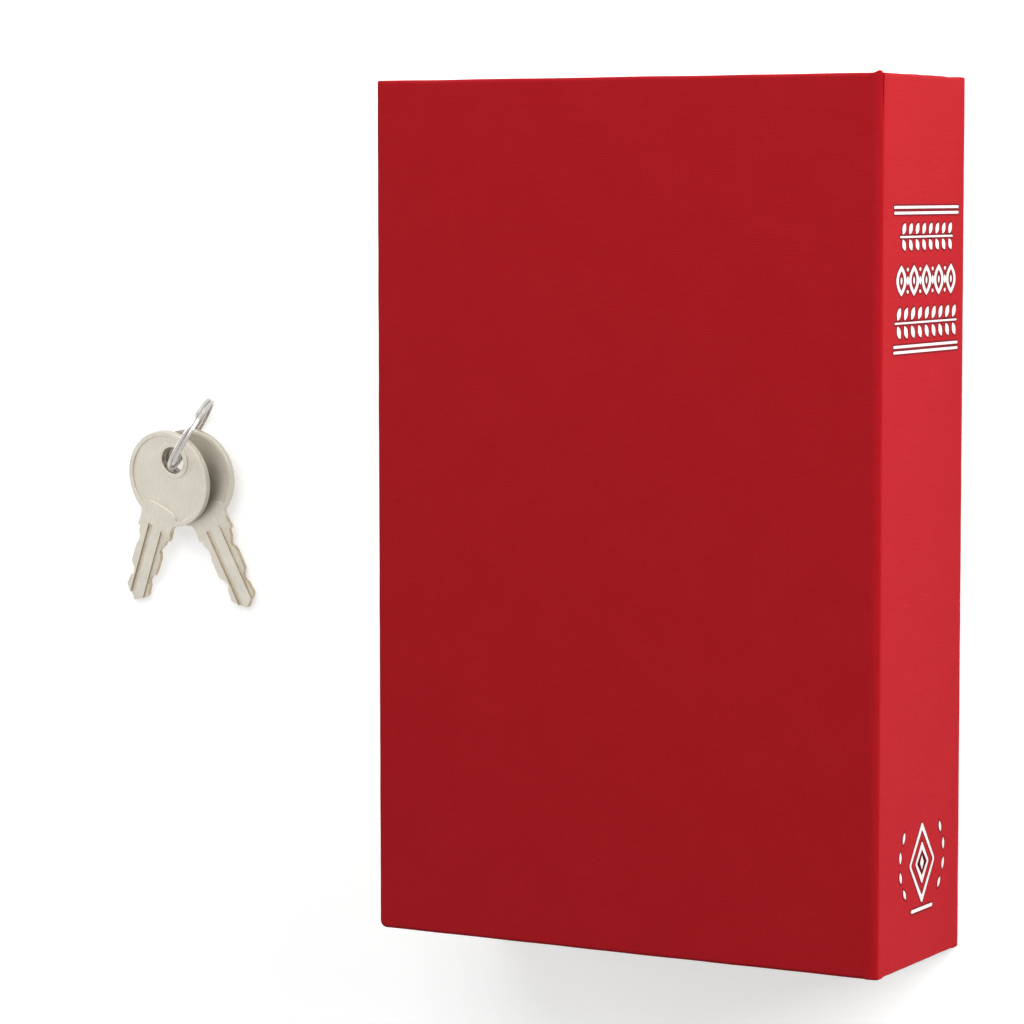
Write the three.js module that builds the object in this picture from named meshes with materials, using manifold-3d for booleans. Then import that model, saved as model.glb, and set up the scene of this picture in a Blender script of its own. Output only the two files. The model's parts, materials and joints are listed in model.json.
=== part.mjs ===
import * as THREE from "three";
import { mergeVertices } from "three/addons/utils/BufferGeometryUtils.js";
import Module from "manifold-3d";

// A book diversion safe: a cloth-bound book whose pages hide a steel box with a keyed lid.
// It lies on its back cover, with two keys on a split ring beside its fore-edge.
// Millimetres. +Z is up, +X points to the spine and +Y to the head of the book.
// The origin is the centre of the back cover's outer face.

const wasm = await Module();
wasm.setup();

// Book
const bookLength = 240;
const bookWidth = 155;
const bookThickness = 55;
const boardThickness = 2.5;
const clothThickness = 0.5;
const paperThickness = 0.25;
const glueFilm = 0.05;
const coverCornerRadius = 2;
const smallestCornerRadius = 0.5;
const turnInWidth = 3.5;
const spineTurnInWidth = 15;
const jointGap = 0.1;
const jointOuterRadius = 1.5;

// Page block
const pageSetback = 3.5;
const pageStripWidth = 14;
const pageTopGap = 0.4;
const spinePagesWidth = 6;

// Steel box
const sheetThickness = 1;
const boxSideGap = 0.5;
const hingeRoom = 6.25;
const lidRecess = 3;
const lidSeatGap = 0.3;
const lidHingeSetback = 0.6;
const lipDepth = 6;
const lipClearance = 1;

// Box hinge
const knuckleRadius = 2;
const hingePinRadius = 1;
const hingePinClearance = 0.3;
const hingeLength = 160;
const knuckleCount = 7;
const knuckleGap = 0.4;
const leafThickness = 1;
const leafReach = 12;
const leafRelief = 0.4;
const rivetCount = 3;
const rivetShankRadius = 1;
const rivetHeadRadius = 1.9;
const rivetHeadTopRadius = 1.2;
const rivetHeadHeight = 0.8;
const rivetClearance = 0.3;
const rivetEndMargin = 25;

// Keys, sized first because the lock is made to their blades
const keyThickness = 2.1;
const keyBowRadius = 15;
const keyHoleRadius = 4.15;
const keyHoleOffset = 6.6;
const keyBossRadius = 5.65;
const keyRimWidth = 1.5;
const keyPocketDepth = 0.35;
const keyTongueReach = 9.4;
const keyTongueHalfWidth = 4.5;
const keyTongueShoulder = 2;
const keyNeckHalfWidth = 6.4;
const keyShoulderReach = 19.2;
const keyTipReach = 43.4;
const keyVeeLength = 3.7;
const keyVeeOffset = -0.3;
const keyBladeHalfWidth = 5;
const keyGrooveWidth = 1.7;
const keyGrooveDepth = 0.6;
const keyGrooveOffset = 1.5;
const keyStepWidth = 2.5;
const keyCutStart = 2.2;
const keyCutRampShare = 0.25;
const keyLeftCuts = [0.6, 0, 0, 1.8, 0.7];
const keyRightCuts = [1.2, 0.3, 0.3, 1.9, 1.1];

// Lock
const lockSetback = 18;
const lockFlangeRadius = 11;
const lockFlangeHeight = 1.5;
const lockBarrelRadius = 9.5;
const lockBarrelFlat = 8.4;
const lockRunningGap = 0.3;
const lockFaceDepth = 1.2;
const lockFaceRadius = 8;
const lockNutAcrossFlats = 24;
const lockNutHeight = 3.5;
const lockWasherRadius = 12.5;
const lockWasherThickness = 1;
const keywayClearance = 0.15;
const keywayEndGap = 0.5;
const plugWallAroundWafer = 0.3;
const waferCount = 4;
const waferThickness = 1;
const waferEndWidth = 0.45;
const waferHalfWidth = 2.4;
const waferGap = 0.15;
const waferWindowGap = 0.1;
const camThickness = 1.5;
const camHubRadius = 7;
const camHalfWidth = 5;
const camReach = 15;
const camTipChamfer = 2;
const camSquareHalf = 3.5;
const camSeatGap = 0.1;
const camWasherRadius = 6.5;
const camWasherThickness = 1;
const camScrewRadius = 1.9;
const camScrewHeadRadius = 4;
const camScrewHeadHeight = 2.4;
const camScrewGrip = 4;

// Catch on the fore-edge wall of the box
const catchLedgeReach = 6;
const catchThickness = 1.5;
const catchHeight = 10;
const catchWidth = 26;
const catchGap = 0.5;

// Split ring and how the keys lie
const ringWireRadius = 0.575;
const ringOuterRadius = 12.5;
const ringTurnPitch = 1.6;
const ringTurns = 2;
const ringStepsPerTurn = 24;
const ringSides = 6;
const ringJogSteps = 3;
const ringHeading = THREE.MathUtils.degToRad(56.1);
const ringLean = THREE.MathUtils.degToRad(22.7);
const ringCentreX = -170.5;
const ringCentreY = 15.5;
const keySpread = THREE.MathUtils.degToRad(25);
const keyRestGap = 0.5;
const keyShift = 1.4;
const bowOverlapReach = 23;

// How far a cutter runs past the face that it opens
const overrun = 1;

const arcSteps = 6;
const circleSides = 32;
const smallCircleSides = 12;

const cloth = new THREE.MeshStandardMaterial({ color: 0x9e181e, roughness: 0.85 });
const greyboard = new THREE.MeshStandardMaterial({ color: 0x8b8378, roughness: 0.9 });
const paper = new THREE.MeshStandardMaterial({ color: 0xf1ead9, roughness: 0.8 });
const enamel = new THREE.MeshStandardMaterial({ color: 0x1d1d20, roughness: 0.55, metalness: 0.2 });
const zinc = new THREE.MeshStandardMaterial({ color: 0xb9bcc0, roughness: 0.4, metalness: 1 });
const chrome = new THREE.MeshStandardMaterial({ color: 0xd9dadc, roughness: 0.15, metalness: 1 });
const brass = new THREE.MeshStandardMaterial({ color: 0xc8a455, roughness: 0.35, metalness: 1 });
const nickel = new THREE.MeshStandardMaterial({ color: 0xcdc8bb, roughness: 0.3, metalness: 1 });

const book = new THREE.Group();

function addPiece(name, geometry, material, parent = book) {
  const piece = new THREE.Mesh(geometry, material);
  piece.name = name;
  parent.add(piece);
  return piece;
}

// Solids
function solidFrom(geometry) {
  const bare = geometry.clone();
  bare.deleteAttribute("normal");
  bare.deleteAttribute("uv");
  const merged = mergeVertices(bare.index ? bare.toNonIndexed() : bare, 1e-4);
  return new wasm.Manifold(
    new wasm.Mesh({
      numProp: 3,
      vertProperties: new Float32Array(merged.attributes.position.array),
      triVerts: new Uint32Array(merged.index.array),
    }),
  );
}

function geometryFrom(solid) {
  const mesh = solid.getMesh();
  const geometry = new THREE.BufferGeometry();
  geometry.setAttribute("position", new THREE.BufferAttribute(mesh.vertProperties, 3));
  geometry.setIndex(new THREE.BufferAttribute(mesh.triVerts, 1));
  geometry.computeVertexNormals();
  return geometry;
}

function cut(geometry, tools) {
  return geometryFrom(tools.reduce((rest, tool) => rest.subtract(solidFrom(tool)), solidFrom(geometry)));
}

function join(geometry, others) {
  return geometryFrom(others.reduce((sum, other) => sum.add(solidFrom(other)), solidFrom(geometry)));
}

// A box between two limits on each axis
function block(xLimits, yLimits, zLimits) {
  const [[x0, x1], [y0, y1], [z0, z1]] = [xLimits, yLimits, zLimits];
  const box = new THREE.BoxGeometry(Math.abs(x1 - x0), Math.abs(y1 - y0), Math.abs(z1 - z0));
  return box.translate((x0 + x1) / 2, (y0 + y1) / 2, (z0 + z1) / 2);
}

// A round bar along Z
function bar(radius, zLimits, x = 0, y = 0, sides = circleSides) {
  const [z0, z1] = zLimits;
  const cylinder = new THREE.CylinderGeometry(radius, radius, Math.abs(z1 - z0), sides);
  return cylinder.rotateX(Math.PI / 2).translate(x, y, (z0 + z1) / 2);
}

// A washer or tube along Z
function tube(outerRadius, innerRadius, zLimits, sides = circleSides) {
  const [z0, z1] = zLimits;
  const profile = [
    new THREE.Vector2(innerRadius, z0),
    new THREE.Vector2(outerRadius, z0),
    new THREE.Vector2(outerRadius, z1),
    new THREE.Vector2(innerRadius, z1),
    new THREE.Vector2(innerRadius, z0),
  ];
  return new THREE.LatheGeometry(profile, sides).rotateX(Math.PI / 2);
}

function extrude(shape, depth, curveSegments = arcSteps) {
  return new THREE.ExtrudeGeometry(shape, { depth, bevelEnabled: false, curveSegments });
}

// A section drawn in X and Z, run along Y from -length / 2 to +length / 2
function runAlongY(shape, length) {
  return extrude(shape, length).rotateX(Math.PI / 2).translate(0, length / 2, 0);
}

function polygon(points) {
  return new THREE.Shape(points.map(([x, y]) => new THREE.Vector2(x, y)));
}

// Places worked out from the sizes
const foreX = -bookWidth / 2;
const spineX = bookWidth / 2;
const headY = bookLength / 2;
const coverThickness = boardThickness + 2 * clothThickness + 2 * glueFilm;
const jointReach = coverThickness + jointGap;
const coverEndX = spineX - jointReach;
const spineTopZ = bookThickness - jointReach;
const spineBottomZ = jointReach;
const spineInnerX = spineX - coverThickness;
const paperInnerZ = clothThickness + boardThickness + paperThickness + 2 * glueFilm;

const pageForeX = foreX + pageSetback;
const pageHeadY = headY - pageSetback;
const pageBottomZ = coverThickness + glueFilm;
const pageTopZ = bookThickness - coverThickness - pageTopGap;
const pageSpineX = spineInnerX - glueFilm;
const spinePagesX = pageSpineX - spinePagesWidth;

const boxForeX = pageForeX + pageStripWidth + boxSideGap;
const boxSpineX = spinePagesX - hingeRoom;
const boxHeadY = pageHeadY - pageStripWidth - boxSideGap;
const lidTopZ = pageTopZ - lidRecess;
const lidBottomZ = lidTopZ - sheetThickness;
const trayTopZ = lidBottomZ - lidSeatGap;
const trayBottomZ = paperInnerZ + glueFilm;
const trayFloorZ = trayBottomZ + sheetThickness;

const hingePinX = boxSpineX + glueFilm + knuckleRadius;
const hingePinZ = lidTopZ + glueFilm + leafThickness - knuckleRadius;

// Outline of a cover seen from above, drawn in by a margin, with its fore-edge corners rounded
function coverOutline(margin, endX) {
  const radius = Math.max(coverCornerRadius - margin, smallestCornerRadius);
  const left = foreX + margin;
  const top = headY - margin;
  const shape = new THREE.Shape();
  shape.moveTo(endX, -top);
  shape.lineTo(endX, top);
  shape.lineTo(left + radius, top);
  shape.absarc(left + radius, top - radius, radius, Math.PI / 2, Math.PI, false);
  shape.lineTo(left, -top + radius);
  shape.absarc(left + radius, -top + radius, radius, Math.PI, 1.5 * Math.PI, false);
  shape.closePath();
  return shape;
}

// Board, cloth and endpaper of one cover, built up from the outer face at outerZ towards inward
function addCover(side, outerZ, inward) {
  const layer = (from, to) => [outerZ + inward * from, outerZ + inward * to];
  const plate = (margin, endX, from, to) => {
    const [a, b] = layer(from, to);
    return extrude(coverOutline(margin, endX), Math.abs(b - a)).translate(0, 0, Math.min(a, b));
  };
  const boardStart = clothThickness + glueFilm;
  const boardEnd = boardStart + boardThickness;
  const pocketEnd = boardEnd + glueFilm;
  const beyond = coverEndX + overrun;

  addPiece(`${side}_cover_board`, plate(boardStart, coverEndX, boardStart, boardEnd), greyboard);

  const sleeve = cut(plate(0, coverEndX, 0, coverThickness), [
    plate(clothThickness, beyond, clothThickness, pocketEnd),
    plate(turnInWidth, beyond, boardEnd, coverThickness + overrun),
  ]);
  addPiece(`${side}_cover_cloth`, sleeve, cloth);

  const sheet = plate(turnInWidth + glueFilm, coverEndX, pocketEnd, pocketEnd + paperThickness);
  addPiece(`${side}_endpaper`, sheet, paper);
}

// The strip of cloth that bends round the corner between a cover and the spine
function addJointCloth(side, outerZ, inward) {
  const stripEnd = jointReach - glueFilm;
  const corner = (offset, radius) => {
    const points = [[spineX - stripEnd, offset]];
    for (let step = 0; step <= arcSteps; step += 1) {
      const angle = (step / arcSteps) * (Math.PI / 2);
      const x = spineX - offset - radius * (1 - Math.sin(angle));
      points.push([x, offset + radius * (1 - Math.cos(angle))]);
    }
    points.push([spineX - offset, stripEnd]);
    return points;
  };
  const outer = corner(0, jointOuterRadius);
  const inner = corner(clothThickness, jointOuterRadius - clothThickness);
  const outline = [...outer, ...inner.reverse()].map(([x, depth]) => [x, outerZ + inward * depth]);
  addPiece(`${side}_joint_cloth`, runAlongY(polygon(outline), bookLength), cloth);
}

function addSpine() {
  const boardOuterX = spineX - clothThickness - glueFilm;
  const boardHeadY = headY - clothThickness - glueFilm;
  const zLimits = [spineBottomZ, spineTopZ];
  const board = block([boardOuterX - boardThickness, boardOuterX], [-boardHeadY, boardHeadY], zLimits);
  addPiece("spine_board", board, greyboard);

  const turnInX = spineInnerX + clothThickness;
  const turnInY = headY - spineTurnInWidth;
  const sleeve = polygon([
    [spineX, -headY],
    [spineX, headY],
    [spineInnerX, headY],
    [spineInnerX, turnInY],
    [turnInX, turnInY],
    [turnInX, headY - clothThickness],
    [spineX - clothThickness, headY - clothThickness],
    [spineX - clothThickness, -headY + clothThickness],
    [turnInX, -headY + clothThickness],
    [turnInX, -turnInY],
    [spineInnerX, -turnInY],
    [spineInnerX, -headY],
  ]);
  const spineCloth = extrude(sleeve, spineTopZ - spineBottomZ).translate(0, 0, spineBottomZ);
  addPiece("spine_cloth", spineCloth, cloth);
}

// The pages are cut away inside, so what is left is a frame of four strips
function addPages() {
  const zLimits = [pageBottomZ, pageTopZ];
  const innerY = pageHeadY - pageStripWidth;
  const sideLimits = [-innerY + glueFilm, innerY - glueFilm];
  addPiece("head_pages", block([pageForeX, pageSpineX], [innerY, pageHeadY], zLimits), paper);
  addPiece("tail_pages", block([pageForeX, pageSpineX], [-pageHeadY, -innerY], zLimits), paper);
  const foreLimits = [pageForeX, pageForeX + pageStripWidth];
  addPiece("fore_edge_pages", block(foreLimits, sideLimits, zLimits), paper);
  addPiece("spine_pages", block([spinePagesX, pageSpineX], sideLimits, zLimits), paper);
}

const rivetPitch = (hingeLength - 2 * rivetEndMargin) / (rivetCount - 1);
const rivetPlaces = Array.from({ length: rivetCount }, (_, i) => (i - (rivetCount - 1) / 2) * rivetPitch);
const leafRivetReach = leafReach / 2;
const trayRivetZ = hingePinZ - knuckleRadius - leafReach / 2;
const lidRivetX = boxSpineX - leafRivetReach;
const lockX = boxForeX + lockSetback;

function lidRivetHoles(zLimits) {
  const radius = rivetShankRadius + rivetClearance;
  return rivetPlaces.map((y) => bar(radius, zLimits, lidRivetX, y, smallCircleSides));
}

function trayRivetHoles(xLimits) {
  const radius = rivetShankRadius + rivetClearance;
  return rivetPlaces.map((y) =>
    bar(radius, xLimits, 0, 0, smallCircleSides).rotateY(Math.PI / 2).translate(0, y, trayRivetZ));
}

function addTray() {
  const outer = block([boxForeX, boxSpineX], [-boxHeadY, boxHeadY], [trayBottomZ, trayTopZ]);
  const hollow = block(
    [boxForeX + sheetThickness, boxSpineX - sheetThickness],
    [-boxHeadY + sheetThickness, boxHeadY - sheetThickness],
    [trayFloorZ, trayTopZ + overrun],
  );
  const holes = trayRivetHoles([boxSpineX - sheetThickness - overrun, boxSpineX + overrun]);
  addPiece("box_tray", cut(outer, [hollow, ...holes]), enamel);
}

// The lid is a plate with a lip folded down on its three free sides
function addLid() {
  const plateEndX = boxSpineX - lidHingeSetback;
  const lipForeX = boxForeX + sheetThickness + lipClearance;
  const lipEndX = boxSpineX - sheetThickness - leafReach;
  const lipHeadY = boxHeadY - sheetThickness - lipClearance;
  const plate = block([boxForeX, plateEndX], [-boxHeadY, boxHeadY], [lidBottomZ, lidTopZ]);
  const lip = polygon([
    [lipEndX, -lipHeadY],
    [lipEndX, -lipHeadY + sheetThickness],
    [lipForeX + sheetThickness, -lipHeadY + sheetThickness],
    [lipForeX + sheetThickness, lipHeadY - sheetThickness],
    [lipEndX, lipHeadY - sheetThickness],
    [lipEndX, lipHeadY],
    [lipForeX, lipHeadY],
    [lipForeX, -lipHeadY],
  ]);
  const fold = extrude(lip, lipDepth + sheetThickness / 2).translate(0, 0, lidBottomZ - lipDepth);
  const beyond = [lidBottomZ - overrun, lidTopZ + overrun];
  const lockHole = bar(lockBarrelRadius + lockRunningGap, beyond, lockX, 0);
  addPiece("box_lid", cut(join(plate, [fold]), [lockHole, ...lidRivetHoles(beyond)]), enamel);
}

// Limits along Y of the knuckles that belong to one leaf: first 0 for the tray, 1 for the lid
function knuckleLimits(first) {
  const pitch = hingeLength / knuckleCount;
  const limits = [];
  for (let i = first; i < knuckleCount; i += 2) {
    const start = -hingeLength / 2 + i * pitch;
    limits.push([start + knuckleGap / 2, start + pitch - knuckleGap / 2]);
  }
  return limits;
}

// A leaf: a plate with one tab and one knuckle for each of its places along the pin
function hingeLeaf(plate, tabAt, first, holes) {
  const bore = hingePinRadius + hingePinClearance;
  const parts = [];
  const bores = [];
  for (const [y0, y1] of knuckleLimits(first)) {
    parts.push(tabAt([y0, y1]));
    const knuckle = bar(knuckleRadius, [y0, y1], 0, 0, smallCircleSides);
    parts.push(knuckle.rotateX(-Math.PI / 2).translate(hingePinX, 0, hingePinZ));
    const through = bar(bore, [y0 - knuckleGap / 2, y1 + knuckleGap / 2], 0, 0, smallCircleSides);
    bores.push(through.rotateX(-Math.PI / 2).translate(hingePinX, 0, hingePinZ));
  }
  return cut(join(plate, parts), [...bores, ...holes]);
}

function addHinge() {
  const halfLength = hingeLength / 2;
  const trayLeafX = [hingePinX - knuckleRadius, hingePinX - knuckleRadius + leafThickness];
  const trayLeafTop = hingePinZ - knuckleRadius - leafRelief;
  const trayPlate = block(trayLeafX, [-halfLength, halfLength], [trayLeafTop - leafReach, trayLeafTop]);
  const trayTab = (yLimits) => block(trayLeafX, yLimits, [trayLeafTop - leafRelief, hingePinZ]);
  const trayHoles = trayRivetHoles([trayLeafX[0] - overrun, trayLeafX[1] + overrun]);
  addPiece("tray_hinge_leaf", hingeLeaf(trayPlate, trayTab, 0, trayHoles), zinc);

  const lidLeafZ = [lidTopZ + glueFilm, lidTopZ + glueFilm + leafThickness];
  const lidLeafEnd = hingePinX - knuckleRadius - leafRelief;
  const lidPlate = block([lidLeafEnd - leafReach, lidLeafEnd], [-halfLength, halfLength], lidLeafZ);
  const lidTab = (yLimits) => block([lidLeafEnd - leafRelief, hingePinX], yLimits, lidLeafZ);
  const lidHoles = lidRivetHoles([lidLeafZ[0] - overrun, lidLeafZ[1] + overrun]);
  addPiece("lid_hinge_leaf", hingeLeaf(lidPlate, lidTab, 1, lidHoles), zinc);

  const pin = bar(hingePinRadius, [-halfLength, halfLength], 0, 0, smallCircleSides);
  addPiece("hinge_pin", pin.rotateX(-Math.PI / 2).translate(hingePinX, 0, hingePinZ), zinc);
}

// A rivet along Z, its head on each side of what it grips
function rivet(grip) {
  const inner = rivetShankRadius;
  const outer = rivetHeadRadius;
  const top = rivetHeadTopRadius;
  const seat = grip / 2 + glueFilm;
  const crown = seat + rivetHeadHeight;
  const profile = [
    [0, -crown],
    [top, -crown],
    [outer, -seat],
    [inner, -seat],
    [inner, seat],
    [outer, seat],
    [top, crown],
    [0, crown],
  ];
  const points = profile.map(([radius, z]) => new THREE.Vector2(radius, z));
  return new THREE.LatheGeometry(points, smallCircleSides).rotateX(Math.PI / 2);
}

function addRivets() {
  const grip = sheetThickness + glueFilm + leafThickness;
  rivetPlaces.forEach((y, i) => {
    const lidRivet = addPiece(`lid_rivet_${i + 1}`, rivet(grip), zinc);
    lidRivet.position.set(lidRivetX, y, lidBottomZ + grip / 2);
    const trayRivet = addPiece(`tray_rivet_${i + 1}`, rivet(grip), zinc);
    trayRivet.rotation.y = Math.PI / 2;
    trayRivet.position.set(boxSpineX - sheetThickness + grip / 2, y, trayRivetZ);
  });
}

// Heights of the lock, measured from the lid and from the blade that it takes
const keyBladeLength = keyTipReach - keyShoulderReach;
const lockSeatZ = lidTopZ + glueFilm;
const lockFaceZ = lockSeatZ + lockFlangeHeight;
const keywayBottomZ = lockFaceZ - keyBladeLength - keywayEndGap;
const plugBottomZ = keywayBottomZ - camScrewGrip + keywayEndGap;
const barrelBottomZ = plugBottomZ + keywayEndGap;
const camTopZ = plugBottomZ - camSeatGap;
const camBottomZ = camTopZ - camThickness;
const camWasherTopZ = camBottomZ - camSeatGap;
const waferHalfLength = keyBladeHalfWidth + keywayClearance + waferWindowGap + waferEndWidth;
const waferSlotHalfLength = waferHalfLength + waferGap;
const waferSlotHalfWidth = waferHalfWidth + waferGap;
const plugRadius = Math.hypot(waferSlotHalfLength, waferSlotHalfWidth) + plugWallAroundWafer;
const waferPitch = (lockFaceZ - lockFaceDepth - keywayBottomZ) / (waferCount + 1);

function addLock() {
  const lock = new THREE.Group();
  lock.position.x = lockX;
  book.add(lock);

  const flats = block(
    [-lockBarrelRadius, lockBarrelRadius],
    [-lockBarrelFlat, lockBarrelFlat],
    [barrelBottomZ, lockSeatZ + lockFlangeHeight / 2],
  );
  const barrel = geometryFrom(
    solidFrom(bar(lockBarrelRadius, [barrelBottomZ, lockSeatZ + lockFlangeHeight / 2])).intersect(
      solidFrom(flats)));
  const flange = bar(lockFlangeRadius, [lockSeatZ, lockFaceZ]);
  const bore = bar(plugRadius + lockRunningGap, [barrelBottomZ - overrun, lockFaceZ + overrun]);
  const faceLimits = [lockFaceZ - lockFaceDepth, lockFaceZ + overrun];
  const faceBore = bar(lockFaceRadius + lockRunningGap, faceLimits);
  addPiece("lock_body", cut(join(flange, [barrel]), [bore, faceBore]), chrome, lock);

  const threadBore = lockBarrelRadius + lockRunningGap;
  const washerTopZ = lidBottomZ - glueFilm;
  const washerZ = [washerTopZ - lockWasherThickness, washerTopZ];
  addPiece("lock_washer", tube(lockWasherRadius, threadBore, washerZ), zinc, lock);

  const nutTopZ = washerZ[0] - glueFilm;
  const nutZ = [nutTopZ - lockNutHeight, nutTopZ];
  const nutCornerRadius = lockNutAcrossFlats / Math.sqrt(3);
  const hex = bar(nutCornerRadius, nutZ, 0, 0, 6);
  const nut = cut(hex, [bar(threadBore, [nutZ[0] - overrun, nutZ[1] + overrun])]);
  addPiece("lock_nut", nut, zinc, lock);

  addLockCore(lock);
}

// The core turns in the lock body: a plug with four wafers, and the cam that its tail carries
function addLockCore(lock) {
  const slotLength = keyBladeHalfWidth + keywayClearance;
  const slotWidth = keyThickness / 2 + keywayClearance;
  const faceBottomZ = lockFaceZ - lockFaceDepth + lockRunningGap;
  const face = bar(lockFaceRadius, [faceBottomZ, lockFaceZ]);
  const shank = bar(plugRadius, [plugBottomZ, faceBottomZ + glueFilm]);
  const tail = block(
    [-camSquareHalf, camSquareHalf],
    [-camSquareHalf, camSquareHalf],
    [camBottomZ, plugBottomZ + glueFilm],
  );
  const keyway = block(
    [-slotWidth, slotWidth],
    [-slotLength, slotLength],
    [keywayBottomZ, lockFaceZ + overrun],
  );
  const screwBore = bar(
    camScrewRadius + lockRunningGap,
    [camBottomZ - overrun, camBottomZ + camScrewGrip],
    0,
    0,
    smallCircleSides,
  );
  const waferLevels = Array.from({ length: waferCount }, (_, i) => keywayBottomZ + (i + 1) * waferPitch);
  const slots = waferLevels.map((z) =>
    block(
      [-waferSlotHalfWidth, waferSlotHalfWidth],
      [-waferSlotHalfLength, waferSlotHalfLength],
      [z - waferThickness / 2 - waferGap, z + waferThickness / 2 + waferGap],
    ));
  const plug = cut(join(face, [shank, tail]), [keyway, screwBore, ...slots]);
  addPiece("lock_plug", plug, brass, lock);

  const windowWidth = slotWidth + waferWindowGap;
  const windowLength = slotLength + waferWindowGap;
  waferLevels.forEach((z, i) => {
    const half = waferThickness / 2;
    const waferLength = [-waferHalfLength, waferHalfLength];
    const plate = block([-waferHalfWidth, waferHalfWidth], waferLength, [-half, half]);
    const through = [-half - overrun, half + overrun];
    const slot = block([-windowWidth, windowWidth], [-windowLength, windowLength], through);
    const wafer = addPiece(`lock_wafer_${i + 1}`, cut(plate, [slot]), brass, lock);
    wafer.position.z = z;
  });

  const square = camSquareHalf + camSeatGap;
  const camOutline = new THREE.Shape();
  camOutline.moveTo(camHalfWidth, 0);
  camOutline.lineTo(camHalfWidth, camReach - camTipChamfer);
  camOutline.lineTo(camHalfWidth - camTipChamfer, camReach);
  camOutline.lineTo(-camHalfWidth + camTipChamfer, camReach);
  camOutline.lineTo(-camHalfWidth, camReach - camTipChamfer);
  camOutline.lineTo(-camHalfWidth, 0);
  camOutline.closePath();
  const arm = extrude(camOutline, camThickness).translate(0, 0, camBottomZ);
  const hub = bar(camHubRadius, [camBottomZ, camTopZ]);
  const squareHole = block([-square, square], [-square, square], [camBottomZ - overrun, camTopZ + overrun]);
  addPiece("lock_cam", cut(join(hub, [arm]), [squareHole]), zinc, lock);

  const washerZ = [camWasherTopZ - camWasherThickness, camWasherTopZ];
  const washerBore = camScrewRadius + lockRunningGap;
  addPiece("cam_washer", tube(camWasherRadius, washerBore, washerZ), zinc, lock);

  const headTopZ = washerZ[0] - camSeatGap;
  const shankTopZ = camBottomZ + camScrewGrip - keywayEndGap;
  const head = bar(camScrewHeadRadius, [headTopZ - camScrewHeadHeight, headTopZ], 0, 0, smallCircleSides);
  const screwShank = bar(camScrewRadius, [headTopZ - glueFilm, shankTopZ], 0, 0, smallCircleSides);
  const slotCut = block(
    [-camScrewHeadRadius, camScrewHeadRadius],
    [-camScrewRadius / 4, camScrewRadius / 4],
    [headTopZ - camScrewHeadHeight - overrun, headTopZ - camScrewHeadHeight / 2],
  );
  addPiece("cam_screw", cut(join(head, [screwShank]), [slotCut]), zinc, lock);
}

// An angle on the fore-edge wall: the cam turns under its ledge to lock the lid
function addCatch() {
  const backX = boxForeX + sheetThickness + glueFilm;
  const ledgeZ = camTopZ + catchGap;
  const section = polygon([
    [backX, ledgeZ],
    [backX + catchLedgeReach, ledgeZ],
    [backX + catchLedgeReach, ledgeZ + catchThickness],
    [backX + catchThickness, ledgeZ + catchThickness],
    [backX + catchThickness, ledgeZ + catchHeight],
    [backX, ledgeZ + catchHeight],
  ]);
  addPiece("catch_bracket", runAlongY(section, catchWidth), zinc);
}

// Outline of a key in its own frame: bow centre at the origin, blade towards -Y
function keyOutline() {
  const neckAngle = Math.acos(keyNeckHalfWidth / keyBowRadius);
  const shape = new THREE.Shape();
  shape.moveTo(keyNeckHalfWidth, -keyShoulderReach);
  shape.absarc(0, 0, keyBowRadius, -neckAngle, Math.PI + neckAngle, false);
  shape.lineTo(-keyNeckHalfWidth, -keyShoulderReach);
  const edge = (side, cuts) => {
    const pitch = (keyBladeLength - keyCutStart - keyVeeLength) / cuts.length;
    const ramp = keyCutRampShare * pitch;
    const at = (depth, y) => [side * (keyBladeHalfWidth - depth), y];
    const points = [at(0, -keyShoulderReach)];
    let before = 0;
    cuts.forEach((depth, i) => {
      const start = -keyShoulderReach - keyCutStart - i * pitch;
      if (depth !== before) {
        points.push(at(before, start + ramp / 2), at(depth, start - ramp / 2));
      }
      before = depth;
    });
    points.push(at(before, -keyTipReach + keyVeeLength));
    return points;
  };
  const left = edge(-1, keyLeftCuts);
  const right = edge(1, keyRightCuts);
  for (const [x, y] of [...left, [keyVeeOffset, -keyTipReach], ...right.reverse()]) {
    shape.lineTo(x, y);
  }
  shape.closePath();
  const hole = new THREE.Path();
  hole.absarc(0, keyHoleOffset, keyHoleRadius, 0, 2 * Math.PI, true);
  shape.holes.push(hole);
  return shape;
}

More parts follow.
